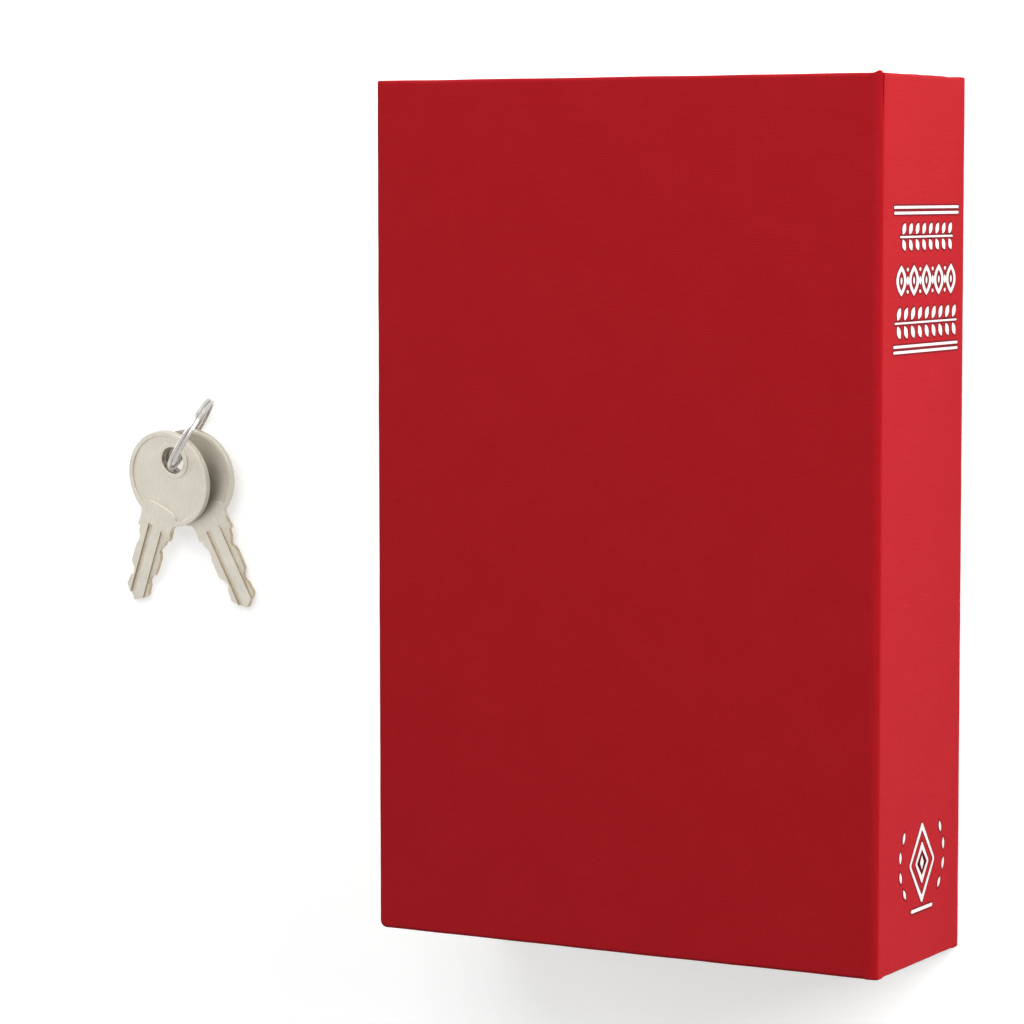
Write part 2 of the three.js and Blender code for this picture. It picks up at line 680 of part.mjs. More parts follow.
// A key: the blank, with its bow sunk inside the rim on both faces and its blade grooved
function keyGeometry() {
  const blank = extrude(keyOutline(), keyThickness, circleSides / 2);
  const tongueEdge = keyTongueHalfWidth + keyTongueShoulder;
  const tongue = extrude(polygon([
    [-tongueEdge, -keyBowRadius],
    [tongueEdge, -keyBowRadius],
    [tongueEdge, -keyTongueReach - keyTongueShoulder / 2],
    [keyTongueHalfWidth, -keyTongueReach],
    [-keyTongueHalfWidth, -keyTongueReach],
    [-tongueEdge, -keyTongueReach - keyTongueShoulder / 2],
  ]), 3 * keyThickness).translate(0, 0, -keyThickness);
  const field = (zLimits) => cut(
    bar(keyBowRadius - keyRimWidth, zLimits),
    [bar(keyBossRadius, [zLimits[0] - overrun, zLimits[1] + overrun], 0, keyHoleOffset), tongue],
  );
  const grooveLimits = [-keyTipReach - overrun, -keyShoulderReach + keyRimWidth];
  const groove = (x, zLimits) =>
    block([x - keyGrooveWidth / 2, x + keyGrooveWidth / 2], grooveLimits, zLimits);
  const top = keyThickness;
  const step = block(
    [keyBladeHalfWidth - keyStepWidth, keyBladeHalfWidth + overrun],
    [-keyTipReach - overrun, -keyShoulderReach - glueFilm],
    [top - keyGrooveDepth / 2, top + overrun],
  );
  const relief = cut(blank, [
    field([top - keyPocketDepth, top + overrun]),
    field([-overrun, keyPocketDepth]),
    groove(-keyGrooveOffset, [top - keyGrooveDepth, top + overrun]),
    groove(keyGrooveOffset, [-overrun, keyGrooveDepth]),
    step,
  ]);
  return relief.translate(0, -keyHoleOffset, 0);
}

// One unbroken wire of two flat turns that cross over in a short jog between its ends
function ringPath() {
  const stepAngle = (2 * Math.PI) / ringStepsPerTurn;
  const clearOfJog = (ringJogSteps * stepAngle) / 2;
  const steps = ringTurns * ringStepsPerTurn - ringJogSteps;
  const path = [];
  for (let step = 0; step <= steps; step += 1) {
    const angle = clearOfJog + step * stepAngle;
    const fromJog = (angle - 2 * Math.PI) / clearOfJog;
    const height = (ringTurnPitch / 2) * THREE.MathUtils.clamp(fromJog, -1, 1);
    path.push({ angle, centre: new THREE.Vector3(
      ringMeanRadius * Math.cos(angle),
      ringMeanRadius * Math.sin(angle),
      height,
    ) });
  }
  return path;
}

function ringGeometry() {
  const positions = [];
  const indices = [];
  const path = ringPath();
  for (const { angle, centre } of path) {
    for (let side = 0; side < ringSides; side += 1) {
      const turn = (2 * Math.PI * side) / ringSides;
      const outward = ringWireRadius * Math.cos(turn);
      positions.push(
        centre.x + outward * Math.cos(angle),
        centre.y + outward * Math.sin(angle),
        centre.z + ringWireRadius * Math.sin(turn),
      );
    }
  }
  for (let ring = 0; ring + 1 < path.length; ring += 1) {
    for (let side = 0; side < ringSides; side += 1) {
      const next = (side + 1) % ringSides;
      const a = ring * ringSides + side;
      const b = ring * ringSides + next;
      const c = a + ringSides;
      const d = b + ringSides;
      indices.push(a, d, b, a, c, d);
    }
  }
  const last = (path.length - 1) * ringSides;
  for (let side = 1; side + 1 < ringSides; side += 1) {
    indices.push(0, side, side + 1);
    indices.push(last, last + side + 1, last + side);
  }
  const geometry = new THREE.BufferGeometry();
  geometry.setAttribute("position", new THREE.Float32BufferAttribute(positions, 3));
  geometry.setIndex(indices);
  geometry.computeVertexNormals();
  return geometry;
}

// Least gap between the wire's turns, measured on points a third of a turn or more apart along it
function leastRingGap() {
  const path = ringPath();
  let least = Infinity;
  for (const a of path) {
    for (const b of path) {
      if (b.angle - a.angle > (2 * Math.PI) / 3) {
        least = Math.min(least, a.centre.distanceTo(b.centre) - 2 * ringWireRadius);
      }
    }
  }
  return least;
}

// How the ring stands and the keys lie: the ring leans on its edge on the table, the keys'
// bows rest one above the other over its lowest part, and their tips rest on the table
const ringMeanRadius = ringOuterRadius - ringWireRadius;
const ringHalfWidth = ringTurnPitch / 2 + ringWireRadius;
const ringCentreZ = ringOuterRadius * Math.cos(ringLean) + ringHalfWidth * Math.sin(ringLean);
const keyTipFromHole = keyTipReach + keyHoleOffset;
const bowEdgeFromHole = keyBowRadius - keyHoleOffset / 2;
const ringInnerRadius = ringOuterRadius - 2 * ringWireRadius;
const ringRise = Math.sqrt(ringInnerRadius ** 2 - (bowEdgeFromHole - keyHoleRadius - keyShift) ** 2);
const lowKeyRise =
  ringCentreZ - ringRise * Math.cos(ringLean) + ringHalfWidth * Math.sin(ringLean) + keyRestGap;
const highKeyRise = lowKeyRise + (keyThickness + keyRestGap) / (1 - bowOverlapReach / keyTipFromHole);

// Where the ring's wire passes a level, on the side where the keys hang
function ringCrossing(level) {
  const below = (ringCentreZ - level) / Math.cos(ringLean);
  const along = -Math.sqrt(ringMeanRadius ** 2 - below ** 2);
  const sideways = -below * Math.sin(ringLean);
  return new THREE.Vector3(
    ringCentreX + along * Math.cos(ringHeading) + sideways * Math.sin(ringHeading),
    ringCentreY + along * Math.sin(ringHeading) - sideways * Math.cos(ringHeading),
    level,
  );
}

function addKeyRing() {
  const heading = new THREE.Group();
  heading.position.set(ringCentreX, ringCentreY, ringCentreZ);
  heading.rotation.z = ringHeading;
  book.add(heading);
  const ring = addPiece("split_ring", ringGeometry(), nickel, heading);
  ring.rotation.x = Math.PI / 2 + ringLean;

  const lay = (name, yaw, rise, shift) => {
    const crossing = ringCrossing(rise + keyThickness / 2);
    const key = addPiece(name, keyGeometry(), nickel);
    const tilt = Math.asin(rise / keyTipFromHole);
    key.position.set(crossing.x, crossing.y + shift, rise);
    key.rotation.set(tilt, 0, yaw, "ZXY");
  };
  lay("key_1", -keySpread, highKeyRise, keyShift);
  lay("key_2", keySpread, lowKeyRise, -keyShift);
}

addCover("back", 0, 1);
addCover("front", bookThickness, -1);
addJointCloth("back", 0, 1);
addJointCloth("front", bookThickness, -1);
addSpine();
addPages();
addTray();
addLid();
addHinge();
addRivets();
addLock();
addCatch();
addKeyRing();

console.log(`split ring: least gap to itself ${leastRingGap().toFixed(3)} mm`);

export default book;
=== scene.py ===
import json
import math

import bmesh
import bpy
from mathutils import Matrix, Vector, noise


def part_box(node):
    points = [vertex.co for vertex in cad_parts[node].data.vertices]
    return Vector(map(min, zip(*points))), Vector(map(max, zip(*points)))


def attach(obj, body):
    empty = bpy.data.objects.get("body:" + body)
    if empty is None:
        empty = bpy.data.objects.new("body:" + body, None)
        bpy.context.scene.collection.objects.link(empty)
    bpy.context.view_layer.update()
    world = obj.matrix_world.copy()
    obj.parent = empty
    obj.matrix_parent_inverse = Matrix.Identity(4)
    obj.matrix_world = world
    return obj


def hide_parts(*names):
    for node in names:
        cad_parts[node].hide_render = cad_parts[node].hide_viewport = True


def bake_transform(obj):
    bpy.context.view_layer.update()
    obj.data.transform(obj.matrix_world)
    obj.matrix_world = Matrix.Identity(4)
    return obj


# The looks of a book diversion safe: red linen case, page block, steel box with its lock, and keys.
# Lengths are millimetres unless a comment says otherwise, and MM turns them into metres.
MM = 0.001
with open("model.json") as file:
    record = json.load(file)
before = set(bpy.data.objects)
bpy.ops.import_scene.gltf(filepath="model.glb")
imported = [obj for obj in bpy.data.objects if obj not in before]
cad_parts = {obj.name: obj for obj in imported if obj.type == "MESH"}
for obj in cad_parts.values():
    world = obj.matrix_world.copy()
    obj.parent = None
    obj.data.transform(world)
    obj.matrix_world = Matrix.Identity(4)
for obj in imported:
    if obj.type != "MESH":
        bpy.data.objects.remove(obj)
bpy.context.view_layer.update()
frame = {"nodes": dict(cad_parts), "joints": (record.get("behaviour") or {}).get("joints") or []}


def limits(node):
    """Lowest and highest place of a CAD node along X, Y and Z, in millimetres"""
    low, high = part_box(node)
    return [(low[axis] / MM, high[axis] / MM) for axis in range(3)]


def middle_of(node):
    """Middle of a CAD node along X, Y and Z, in millimetres"""
    return [(low + high) / 2 for low, high in limits(node)]


# Places taken from the frame
(FORE_X, JOINT_X), (TAIL_Y, HEAD_Y), (COVER_INNER_Z, BOOK_TOP_Z) = limits("front_cover_cloth")
(SPINE_INNER_X, SPINE_X), _, (SPINE_LOW_Z, SPINE_HIGH_Z) = limits("spine_cloth")
COVER_THICKNESS = BOOK_TOP_Z - COVER_INNER_Z
SPINE_MIDDLE_Z = (SPINE_LOW_Z + SPINE_HIGH_Z) / 2

# Camera, solved from the six corners of the book in the photograph. Place in metres, turn in degrees.
CAMERA_PLACE = (0.49595, 0.09024, 0.98795)
CAMERA_TURN = (-4.8135, 29.5863, -0.0722)
CAMERA_LENS = 136.6
SENSOR_WIDTH = 36

# Book cloth. Waves are the lengths over which it lies uneven. Colours are linear, from 0 to 1.
CLOTH_THICKNESS = 0.5
TURN_IN = 3.5
TURN_IN_ROUNDING = 0.1
SPINE_TURN_IN = 15
EDGE_RADIUS = 1.1
TAIL_CORNER_RADIUS = 2.0
HEAD_CORNER_RADIUS = 0.5
OUTSIDE_UNEVENNESS = 0.12
TURN_IN_UNEVENNESS = 0.3
CLOTH_WAVES = (11, 13)
WAVES_APART = Vector((5, 3, 1))
EVEN_BESIDE_JOINT = 5
THREAD_PITCH = 0.42
THREADS_PER_METRE = 1 / (THREAD_PITCH * MM)
RED_CLOTH = (0.282, 0.0028, 0.0063)
# The darkest red is painted shade, which the hollows of the weave take.
HOLLOW_SHADE_RED_CLOTH = (0.245, 0.0022, 0.005)
PALE_RED_CLOTH = (0.303, 0.0058, 0.0102)

# Joint between a cover and the spine: a gentle bend up to BEND_CHANGE degrees, then a tight one.
# Peak and crease each have a place and a width, as shares of the way from cover to spine.
JOINT_FOLD_THICKNESS = 1.0
JOINT_END_THICKNESS = 2.7
JOINT_END_LENGTH = 4
JOINT_UNEVENNESS = 0.06
JOINT_WAVES = (9, 4)
GENTLE_BEND = 6
TIGHT_BEND = 0.7
BEND_CHANGE = 24
PEAK_HEIGHT = 0.75
PEAK_LENGTH = 4
PEAK_PLACE = (0.3, 0.2)
CREASE_DEPTH = 0.45
CREASE_LENGTH = 16
CREASE_FADE = 12
CREASE_PLACE = (0.62, 0.07)

# Ends of the spine: a little wavy, and dipped at the head end, at a height and over a width
SPINE_END_LENGTH = 3
SPINE_WAVES = (7, 50)
SPINE_DIP = 0.4
SPINE_DIP_PLACE = (9, 3)

# Foil on the spine: places along the spine, measured from the middle of the book
FOIL_THICKNESS = 0.08
FOIL_PRESS = 0.48
FOIL_SHIFT = 1.4
BORDER_SHARES = (0.2, 0.35, 0.5, 0.65, 0.8)
RULE_HALF_LENGTH = 21.4
RULE_WIDTH = 0.72
RULE_PLACES = (84.85, 83.33, 48.0, 46.5)
STEM_WIDTH = 0.5
LEAF_SHIFT = 0.4
LEAF_LEAN = 32
DOT_LENGTH = 1.1
DOT_WIDTH = 1.3

# Page block: trimmed leaves that slip a little out of line
LEAVES = 130
LEAF_SEGMENTS = 12
OUTSIDE_SLIP = 0.16
INSIDE_SLIP = -0.1
SLIP_LENGTH = 40
SEED_STEP = 3.7
INSIDE_SEED = 500

# Steel box and its hinge
SHEET = 1.0
TRAY_BEND = 1.8
TRAY_CORNER = 2.2
TRAY_RIM_RADIUS = 0.35
LID_CORNER = 1.5
LID_EDGE_RADIUS = 0.3
LID_FLAT_INSET = 3.3
LIP_GAP = 2.0
LIP_CORNER = 4
LIP_SHORTFALL = 12.4
KNUCKLES = 7
KNUCKLE_GAP = 0.4
KNUCKLE_RADIUS = 2.0
KNUCKLE_BORE = 1.3
KNUCKLE_OVERLAP = 1
CURL_END = -205
RIVET_HEAD = 0.8
RIVET_SHANK_RADIUS = 1.0

# Cam lock
BARREL_RADIUS = 9.5
BARREL_FLAT = 8.4
FLAT_START = 0.6
LEAD_IN = 0.6
THREAD_START = 1.2
RIDGE_PITCH = 1.0
RIDGE_HEIGHT = 0.45
FLANGE_HEIGHT = 1.5
FLANGE_ROUNDING = 0.7
LOCK_FACE_DEPTH = 1.2
LOCK_LEDGE = 1.2
LOCK_GAP = 0.3
LOCK_CHAMFER = 0.2
PLUG_STEP = 1.3
PLUG_ROUNDING = 0.5
PLUG_CHAMFER = 0.3
PLUG_TAIL_HALF_WIDTH = 3.5
OVERLAP = 0.1
BEYOND = 1
KEYWAY_HALF_WIDTH = 1.2
KEYWAY_HALF_LENGTH = 5.15
KEYWAY_DEPTH = 24
WARD_WIDTH = 0.45
WARD_START = 0.9
WARD_END = 2.2
WASHER_EDGE = 0.15
NUT_BEVEL = 0.7
NUT_CORNER_CUT = 0.1

# Keys, drawn about the middle of the bow with the blade towards -Y
KEY_THICKNESS = 2.1
KEY_EDGE_RADIUS = 0.2
BOW_RADIUS = 15
HOLE_RADIUS = 4.15
HOLE_OFFSET = 6.6
BOSS_RADIUS = 5.65
RIM_WIDTH = 1.5
FIELD_DEPTH = 0.35
FLOOR_INSET = 0.6
TONGUE_HALF_WIDTH = 7.0
NECK_HALF_WIDTH = 6.4
SHOULDER_REACH = 19.2
TIP_REACH = 43.4
GROOVE_NEAR = 0.75
GROOVE_FAR = 2.45
GROOVE_DEPTH = 0.6
STEP_NEAR = 2.6
STEP_FAR = 8
STEP_DEPTH = 0.45
GROOVE_FOOT = 18
GROOVE_TOP = 15.5

# Split ring: two flat turns of one wire. Turns are degrees.
RING_OUTER_RADIUS = 12.5
RING_WIRE_HEIGHT = 1.1
RING_WIRE_WIDTH = 1.15
RING_SQUARENESS = 0.62
RING_END_SHRINK = (0.82, 0.95)
RING_TURN_PITCH = 1.25
RING_HALF_JOG = 22.5
RING_END_TURN = 150
RING_HEADING = 56.1
RING_LEAN = 22.7

# Studio. Sizes and distances are metres.
FLOOR_HALF_SIZE = 3.0
FLOOR_DROP = 0.00005
FLOOR_GREY = 0.8
FLOOR_ROUGHNESS = 0.9
FLOOR_FILL = 0.42
FLOOR_FAR_FILL = 0.68
FLOOR_FAR = (0.3, 1.4)
ROOM_LIGHT = 0.4

# How finely shapes are divided
WELD_DISTANCE = 0.002
SMALLEST_RADIUS = 0.05
ARC_STEPS = 6
TURNED_SIDES = 64
ROUND_STEPS = 48
BOW_STEPS = 72
COVER_STEPS = 40
BEND_STEPS = 8
JOINT_RINGS = 160
SPINE_RINGS = 28
LEAF_STEPS = 10
NUT_SIDES = 96
WIRE_STEPS = 180
WIRE_SIDES = 16


# Shapes

def configure(thing, **settings):
    """Sets several properties of a thing by their names"""
    for name, value in settings.items():
        setattr(thing, name, value)
    return thing


def add_object(name, data):
    """A new object in the scene"""
    thing = bpy.data.objects.new(name, data)
    bpy.context.scene.collection.objects.link(thing)
    return thing


def make_piece(name, vertices, faces):
    """A mesh object from points in millimetres"""
    mesh = bpy.data.meshes.new(name)
    mesh.from_pydata([Vector(vertex) * MM for vertex in vertices], [], faces)
    return place_mesh(name, mesh)


def place_mesh(name, mesh):
    """Joins doubled points, turns the faces outward and puts the mesh in the scene"""
    work = bmesh.new()
    work.from_mesh(mesh)
    bmesh.ops.remove_doubles(work, verts=work.verts, dist=WELD_DISTANCE * MM)
    bmesh.ops.recalc_face_normals(work, faces=work.faces)
    work.to_mesh(mesh)
    work.free()
    return add_object(name, mesh)


def loft(rings, closed=True, wrap=False, first_cap=False, last_cap=False):
    """Vertices and faces of a skin over rings of equal count"""
    count = len(rings[0])
    vertices = [point for ring in rings for point in ring]
    spans = count if closed else count - 1
    faces = []
    for ring in range(len(rings) if wrap else len(rings) - 1):
        near = ring * count
        far = (ring + 1) % len(rings) * count
        for i in range(spans):
            j = (i + 1) % count
            faces.append((near + i, near + j, far + j, far + i))
    if first_cap:
        faces.append(tuple(range(count)))
    if last_cap:
        faces.append(tuple(range(len(vertices) - count, len(vertices))))
    return vertices, faces


def solid(name, rings):
    """A closed piece skinned over rings"""
    return make_piece(name, *loft(rings, first_cap=True, last_cap=True))


def arc(centre, radius, start, end, steps=ARC_STEPS):
    """Points on an arc between two angles in degrees"""
    x, y = centre
    turns = [math.radians(start + (end - start) * step / steps) for step in range(steps + 1)]
    return [(x + radius * math.cos(a), y + radius * math.sin(a)) for a in turns]


def spread(start, end, steps):
    """Evenly spaced values from start up to, but without, end"""
    return [start + (end - start) * step / steps for step in range(steps)]


def turned(name, profile, sides=TURNED_SIDES, wrap=False, shape=None):
    """A turned part about Z. shape may change each point, as for flats."""
    turns = [2 * math.pi * side / sides for side in range(sides)]
    rings = []
    for radius, z in profile:
        ring = [(radius * math.cos(a), radius * math.sin(a), z) for a in turns]
        rings.append([shape(point) for point in ring] if shape else ring)
    return make_piece(name, *loft(rings, wrap=wrap))


def dome(radius, top, height, steps):
    """Half the section of a domed end, from its rim to its middle"""
    turns = [math.radians(90 * step / steps) for step in range(steps + 1)]
    return [(radius * math.cos(a), top - height + height * math.sin(a)) for a in turns]


def rounded_rectangle(x_limits, y_limits, radius, inset=0.0, steps=ARC_STEPS):
    """Points anticlockwise round a rectangle drawn in by inset"""
    x0, x1 = x_limits[0] + inset, x_limits[1] - inset
    y0, y1 = y_limits[0] + inset, y_limits[1] - inset
    r = max(radius - inset, SMALLEST_RADIUS)
    centres = [(x1 - r, y1 - r), (x0 + r, y1 - r), (x0 + r, y0 + r), (x1 - r, y0 + r)]
    corners = [arc(centre, r, 90 * i, 90 * (i + 1), steps) for i, centre in enumerate(centres)]
    return [point for corner in corners for point in corner]


def lift(points, z):
    """Flat points raised to the height z"""
    return [(x, y, z) for x, y in points]


def flat_plate(name, loops, thickness, bevel=0.0, grow=0.0):
    """A plate on z = 0 cut to loops of points, with rounded edges. Loops go outline, hole, island, hole."""
    curve = bpy.data.curves.new(name, "CURVE")
    configure(curve, dimensions="2D", fill_mode="BOTH", extrude=thickness / 2 - bevel)
    configure(curve, bevel_depth=bevel, bevel_resolution=2, offset=grow - bevel)
    for loop in loops:
        spline = curve.splines.new("POLY")
        spline.points.add(len(loop) - 1)
        for point, (x, y) in zip(spline.points, loop):
            point.co = (x, y, 0, 1)
        spline.use_cyclic_u = True
    drawn = add_object(name, curve)
    mesh = bpy.data.meshes.new_from_object(drawn.evaluated_get(bpy.context.evaluated_depsgraph_get()))
    bpy.data.objects.remove(drawn)
    mesh.transform(Matrix.Scale(MM, 4) @ Matrix.Translation((0, 0, thickness / 2)))
    mesh.name = name
    return place_mesh(name, mesh)


def merge(name, parts):
    """One piece from several"""
    work = bmesh.new()
    for part in parts:
        part.data.transform(part.matrix_basis)
        work.from_mesh(part.data)
        bpy.data.objects.remove(part)
    mesh = bpy.data.meshes.new(name)
    work.to_mesh(mesh)
    work.free()
    return place_mesh(name, mesh)


def move(piece, x, y, z):
    """Moves the mesh of a piece, by lengths in millimetres"""
    piece.data.transform(Matrix.Translation(Vector((x, y, z)) * MM))
    return piece


def carve(piece, cutters):
    """Cuts the cutters out of the piece"""
    for cutter in cutters:
        cut = piece.modifiers.new("cut", "BOOLEAN")
        configure(cut, operation="DIFFERENCE", solver="EXACT", object=cutter)
    mesh = bpy.data.meshes.new_from_object(piece.evaluated_get(bpy.context.evaluated_depsgraph_get()))
    piece.modifiers.clear()
    piece.data = mesh
    for cutter in cutters:
        bpy.data.objects.remove(cutter)


def lay_flat(piece):
    """Texture coordinates in metres: each face is laid flat along the axis that it faces"""
    layer = piece.data.uv_layers.new(name="flat")
    across = {0: (2, 1), 1: (0, 2), 2: (0, 1)}
    for face in piece.data.polygons:
        facing = max(range(3), key=lambda axis: abs(face.normal[axis]))
        u, v = across[facing]
        for loop in face.loop_indices:
            place = piece.data.vertices[piece.data.loops[loop].vertex_index].co
            layer.data[loop].uv = (place[u], place[v])


def dress(piece, body, material, replaces=(), sharp=35):
    """Gives a piece its finish, its smooth shading and the body that it moves with"""
    piece.data.materials.clear()
    piece.data.materials.append(material)
    piece.data.polygons.foreach_set("use_smooth", [True] * len(piece.data.polygons))
    piece.data.set_sharp_from_angle(angle=math.radians(sharp))
    configure(piece.modifiers.new("normals", "WEIGHTED_NORMAL"), keep_sharp=True)
    if body:
        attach(piece, body)
    if replaces:
        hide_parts(*replaces)


def clothe(piece, body, node):
    """Covers the piece that replaces a CAD node with red linen"""
    lay_flat(piece)
    dress(piece, body, red_linen, [node])


def plate_zinc(piece, body, node):
    """Gives zinc-plated steel to the piece that replaces a CAD node"""
    dress(piece, body, zinc, [node])


# Finishes

class Finish:
    """The nodes of a material, or of the world, built up in small steps"""

    def __init__(self, name, new=bpy.data.materials.new, shader="Principled BSDF"):
        self.material = new(name)
        self.material.use_nodes = True
        self.tree = self.material.node_tree
        self.shader = self.tree.nodes[shader]

    def feed(self, socket, value):
        """Links a socket to another one, or sets its value"""
        if isinstance(value, bpy.types.NodeSocket):
            self.tree.links.new(value, socket)
        else:
            socket.default_value = value

    def node(self, kind, inputs=None, **settings):
        """Adds a node, with its inputs by name or number and its settings by name"""
        made = configure(self.tree.nodes.new(kind), **settings)
        for key, value in (inputs or {}).items():
            self.feed(made.inputs[key], value)
        return made

    def shade(self, **inputs):
        """Feeds inputs of the surface shader"""
        for name, value in inputs.items():
            self.feed(self.shader.inputs[name.replace("_", " ")], value)

    def place(self, scale=1, flat=False):
        """Object coordinates, or flat ones, in metres, with one scale or one for each direction"""
        scale = scale if isinstance(scale, tuple) else (scale, scale, scale)
        if flat:
            coordinates = self.node("ShaderNodeUVMap", uv_map="flat").outputs[0]
        else:
            coordinates = self.node("ShaderNodeTexCoord").outputs["Object"]
        return self.node("ShaderNodeMapping", {"Vector": coordinates, "Scale": scale}).outputs[0]

    def noise(self, place, scale=1.0, detail=3.0, roughness=0.5):
        inputs = {"Vector": place, "Scale": scale, "Detail": detail, "Roughness": roughness}
        return self.node("ShaderNodeTexNoise", inputs).outputs[0]

    def math(self, operation, *values):
        made = self.node("ShaderNodeMath", operation=operation)
        for socket, value in zip(made.inputs, values):
            self.feed(socket, value)
        return made.outputs[0]

    def blend(self, first, second, share=0.5):
        """Two patterns added up, with share for the first and the rest for the second"""
        rest = self.math("MULTIPLY", second, 1 - share)
        return self.math("MULTIPLY_ADD", first, share, rest)

    def spread(self, value, low=0, high=1, usual=(0.3, 0.7)):
        """Maps a pattern's usual range onto low to high"""
        inputs = {0: value, 1: usual[0], 2: usual[1], 3: low, 4: high}
        return self.node("ShaderNodeMapRange", inputs).outputs[0]

    def mix(self, share, first, second):
        """A colour between two others"""
        made = self.node("ShaderNodeMix", {0: share}, data_type="RGBA")
        for key, colour in ((6, first), (7, second)):
            self.feed(made.inputs[key], colour if isinstance(colour, bpy.types.NodeSocket) else (*colour, 1))
        return made.outputs[2]

    def seen(self):
        """1 where it is looked at or mirrored, 0 where it lights something"""
        path = self.node("ShaderNodeLightPath")
        return self.math("MAXIMUM", path.outputs["Is Camera Ray"], path.outputs["Is Glossy Ray"])

    def bump(self, height, depth):
        """Surface relief of a depth in millimetres"""
        return self.node("ShaderNodeBump", {"Height": height, "Distance": depth * MM}).outputs[0]


def weave_height(finish, u, v):
    """Height of a plain weave where u and v count threads"""
    waves = [finish.math("SINE", finish.math("MULTIPLY", axis, math.pi)) for axis in (u, v)]
    ridge_u, ridge_v = [finish.math("ABSOLUTE", wave) for wave in waves]
    bent_u, bent_v = [finish.math("MULTIPLY_ADD", ridge, 0.5, 0.5) for ridge in (ridge_u, ridge_v)]
    cells = finish.math("ADD", finish.math("FLOOR", u), finish.math("FLOOR", v))
    over = finish.math("PINGPONG", cells, 1.0)
    under = finish.math("SUBTRACT", 1.0, over)
    warp = finish.math("MULTIPLY", finish.math("MULTIPLY", ridge_u, bent_v), over)
    weft = finish.math("MULTIPLY", finish.math("MULTIPLY", ridge_v, bent_u), under)
    return finish.math("ADD", warp, weft)


def linen(name, hollow_shade, middle, pale):
    """Fine linen book cloth: a plain weave with uneven threads, faint mottling and painted shade in the
    weave's hollows
    """
    finish = Finish(name)
    across, along = THREADS_PER_METRE, THREADS_PER_METRE / 40
    place = finish.place(across, flat=True)
    drift = finish.noise(place, scale=0.07, detail=2)
    parts = finish.node("ShaderNodeSeparateXYZ", {0: place})
    u = finish.math("ADD", parts.outputs[0], drift)
    v = finish.math("ADD", parts.outputs[1], drift)
    height = weave_height(finish, u, v)
    warp_slubs = finish.noise(finish.place((across, along, 1), flat=True), scale=0.9)
    weft_slubs = finish.noise(finish.place((along, across, 1), flat=True), scale=0.9)
    slubs = finish.blend(warp_slubs, weft_slubs)
    relief = finish.math("MULTIPLY_ADD", slubs, 0.6, height)
    mottle = finish.noise(finish.place(60, flat=True), detail=5, roughness=0.6)
    # Raised threads take the middle red and the weave's hollows the darker one, as painted shade.
    raised = finish.spread(relief, usual=(0.35, 1.15))
    weave_colour_with_painted_shade = finish.mix(raised, hollow_shade, middle)
    paled = finish.spread(finish.math("MULTIPLY", slubs, mottle), high=0.3, usual=(0.2, 0.36))
    finish.shade(Base_Color=finish.mix(paled, weave_colour_with_painted_shade, pale))
    finish.shade(Roughness=finish.spread(slubs, 0.82, 0.94), Specular_IOR_Level=0.1)
    finish.shade(Sheen_Weight=0.2, Sheen_Roughness=0.5, Sheen_Tint=(1, 0.16, 0.2, 1))
    finish.shade(Normal=finish.bump(relief, depth=0.04))
    return finish.material


def foil():
    """White foil pressed into the weave, a little worn where the cloth shows through"""
    finish = Finish("white_foil")
    grain = finish.noise(finish.place(THREADS_PER_METRE), scale=0.8)
    worn = finish.spread(grain, high=0.5, usual=(0.62, 0.8))
    finish.shade(Base_Color=finish.mix(worn, (0.53, 0.51, 0.5), (0.48, 0.2, 0.21)))
    finish.shade(Roughness=finish.spread(grain, 0.3, 0.5), Normal=finish.bump(grain, depth=0.03))
    return finish.material


def uncoated_paper():
    """Uncoated paper with faint fibres"""
    finish = Finish("endpaper")
    fibres = finish.noise(finish.place(900), detail=4, roughness=0.6)
    clouds = finish.noise(finish.place(40))
    share = finish.spread(finish.blend(fibres, clouds), usual=(0.35, 0.65))
    finish.shade(Base_Color=finish.mix(share, (0.54, 0.5, 0.42), (0.62, 0.58, 0.5)))
    finish.shade(Roughness=finish.spread(fibres, 0.75, 0.9), Specular_IOR_Level=0.3)
    finish.shade(Normal=finish.bump(fibres, depth=0.02))
    return finish.material


def page_edges():
    """Trimmed leaves: thin lines along the block, a little darker here and there"""
    finish = Finish("page_edges")
    leaves = finish.noise(finish.place((9, 9, 7000)), detail=2)
    signatures = finish.noise(finish.place((3, 3, 420)), detail=2)
    lines = finish.blend(leaves, signatures, share=0.65)
    share = finish.spread(lines, usual=(0.36, 0.62))
    finish.shade(Base_Color=finish.mix(share, (0.48, 0.405, 0.305), (0.67, 0.615, 0.52)))
    finish.shade(Roughness=finish.spread(leaves, 0.7, 0.9), Specular_IOR_Level=0.3)
    finish.shade(Normal=finish.bump(lines, depth=0.06))
    return finish.material


def greyboard():
    """Grey pulp board with lighter flecks"""
    finish = Finish("greyboard")
    flecks = finish.noise(finish.place(700), detail=5, roughness=0.7)
    finish.shade(Base_Color=finish.mix(finish.spread(flecks), (0.34, 0.31, 0.27), (0.5, 0.47, 0.42)))
    finish.shade(Roughness=finish.spread(flecks, 0.8, 0.95), Normal=finish.bump(flecks, depth=0.05))
    return finish.material


def powder_coat():
    """Black powder coat with its fine orange-peel texture"""
    finish = Finish("box_enamel")
    peel = finish.noise(finish.place(1800), roughness=0.6)
    dust = finish.noise(finish.place(30), detail=4)
    finish.shade(Base_Color=finish.mix(finish.spread(dust), (0.008, 0.008, 0.01), (0.02, 0.02, 0.023)))
    finish.shade(Roughness=finish.spread(dust, 0.38, 0.52), Normal=finish.bump(peel, depth=0.03))
    return finish.material


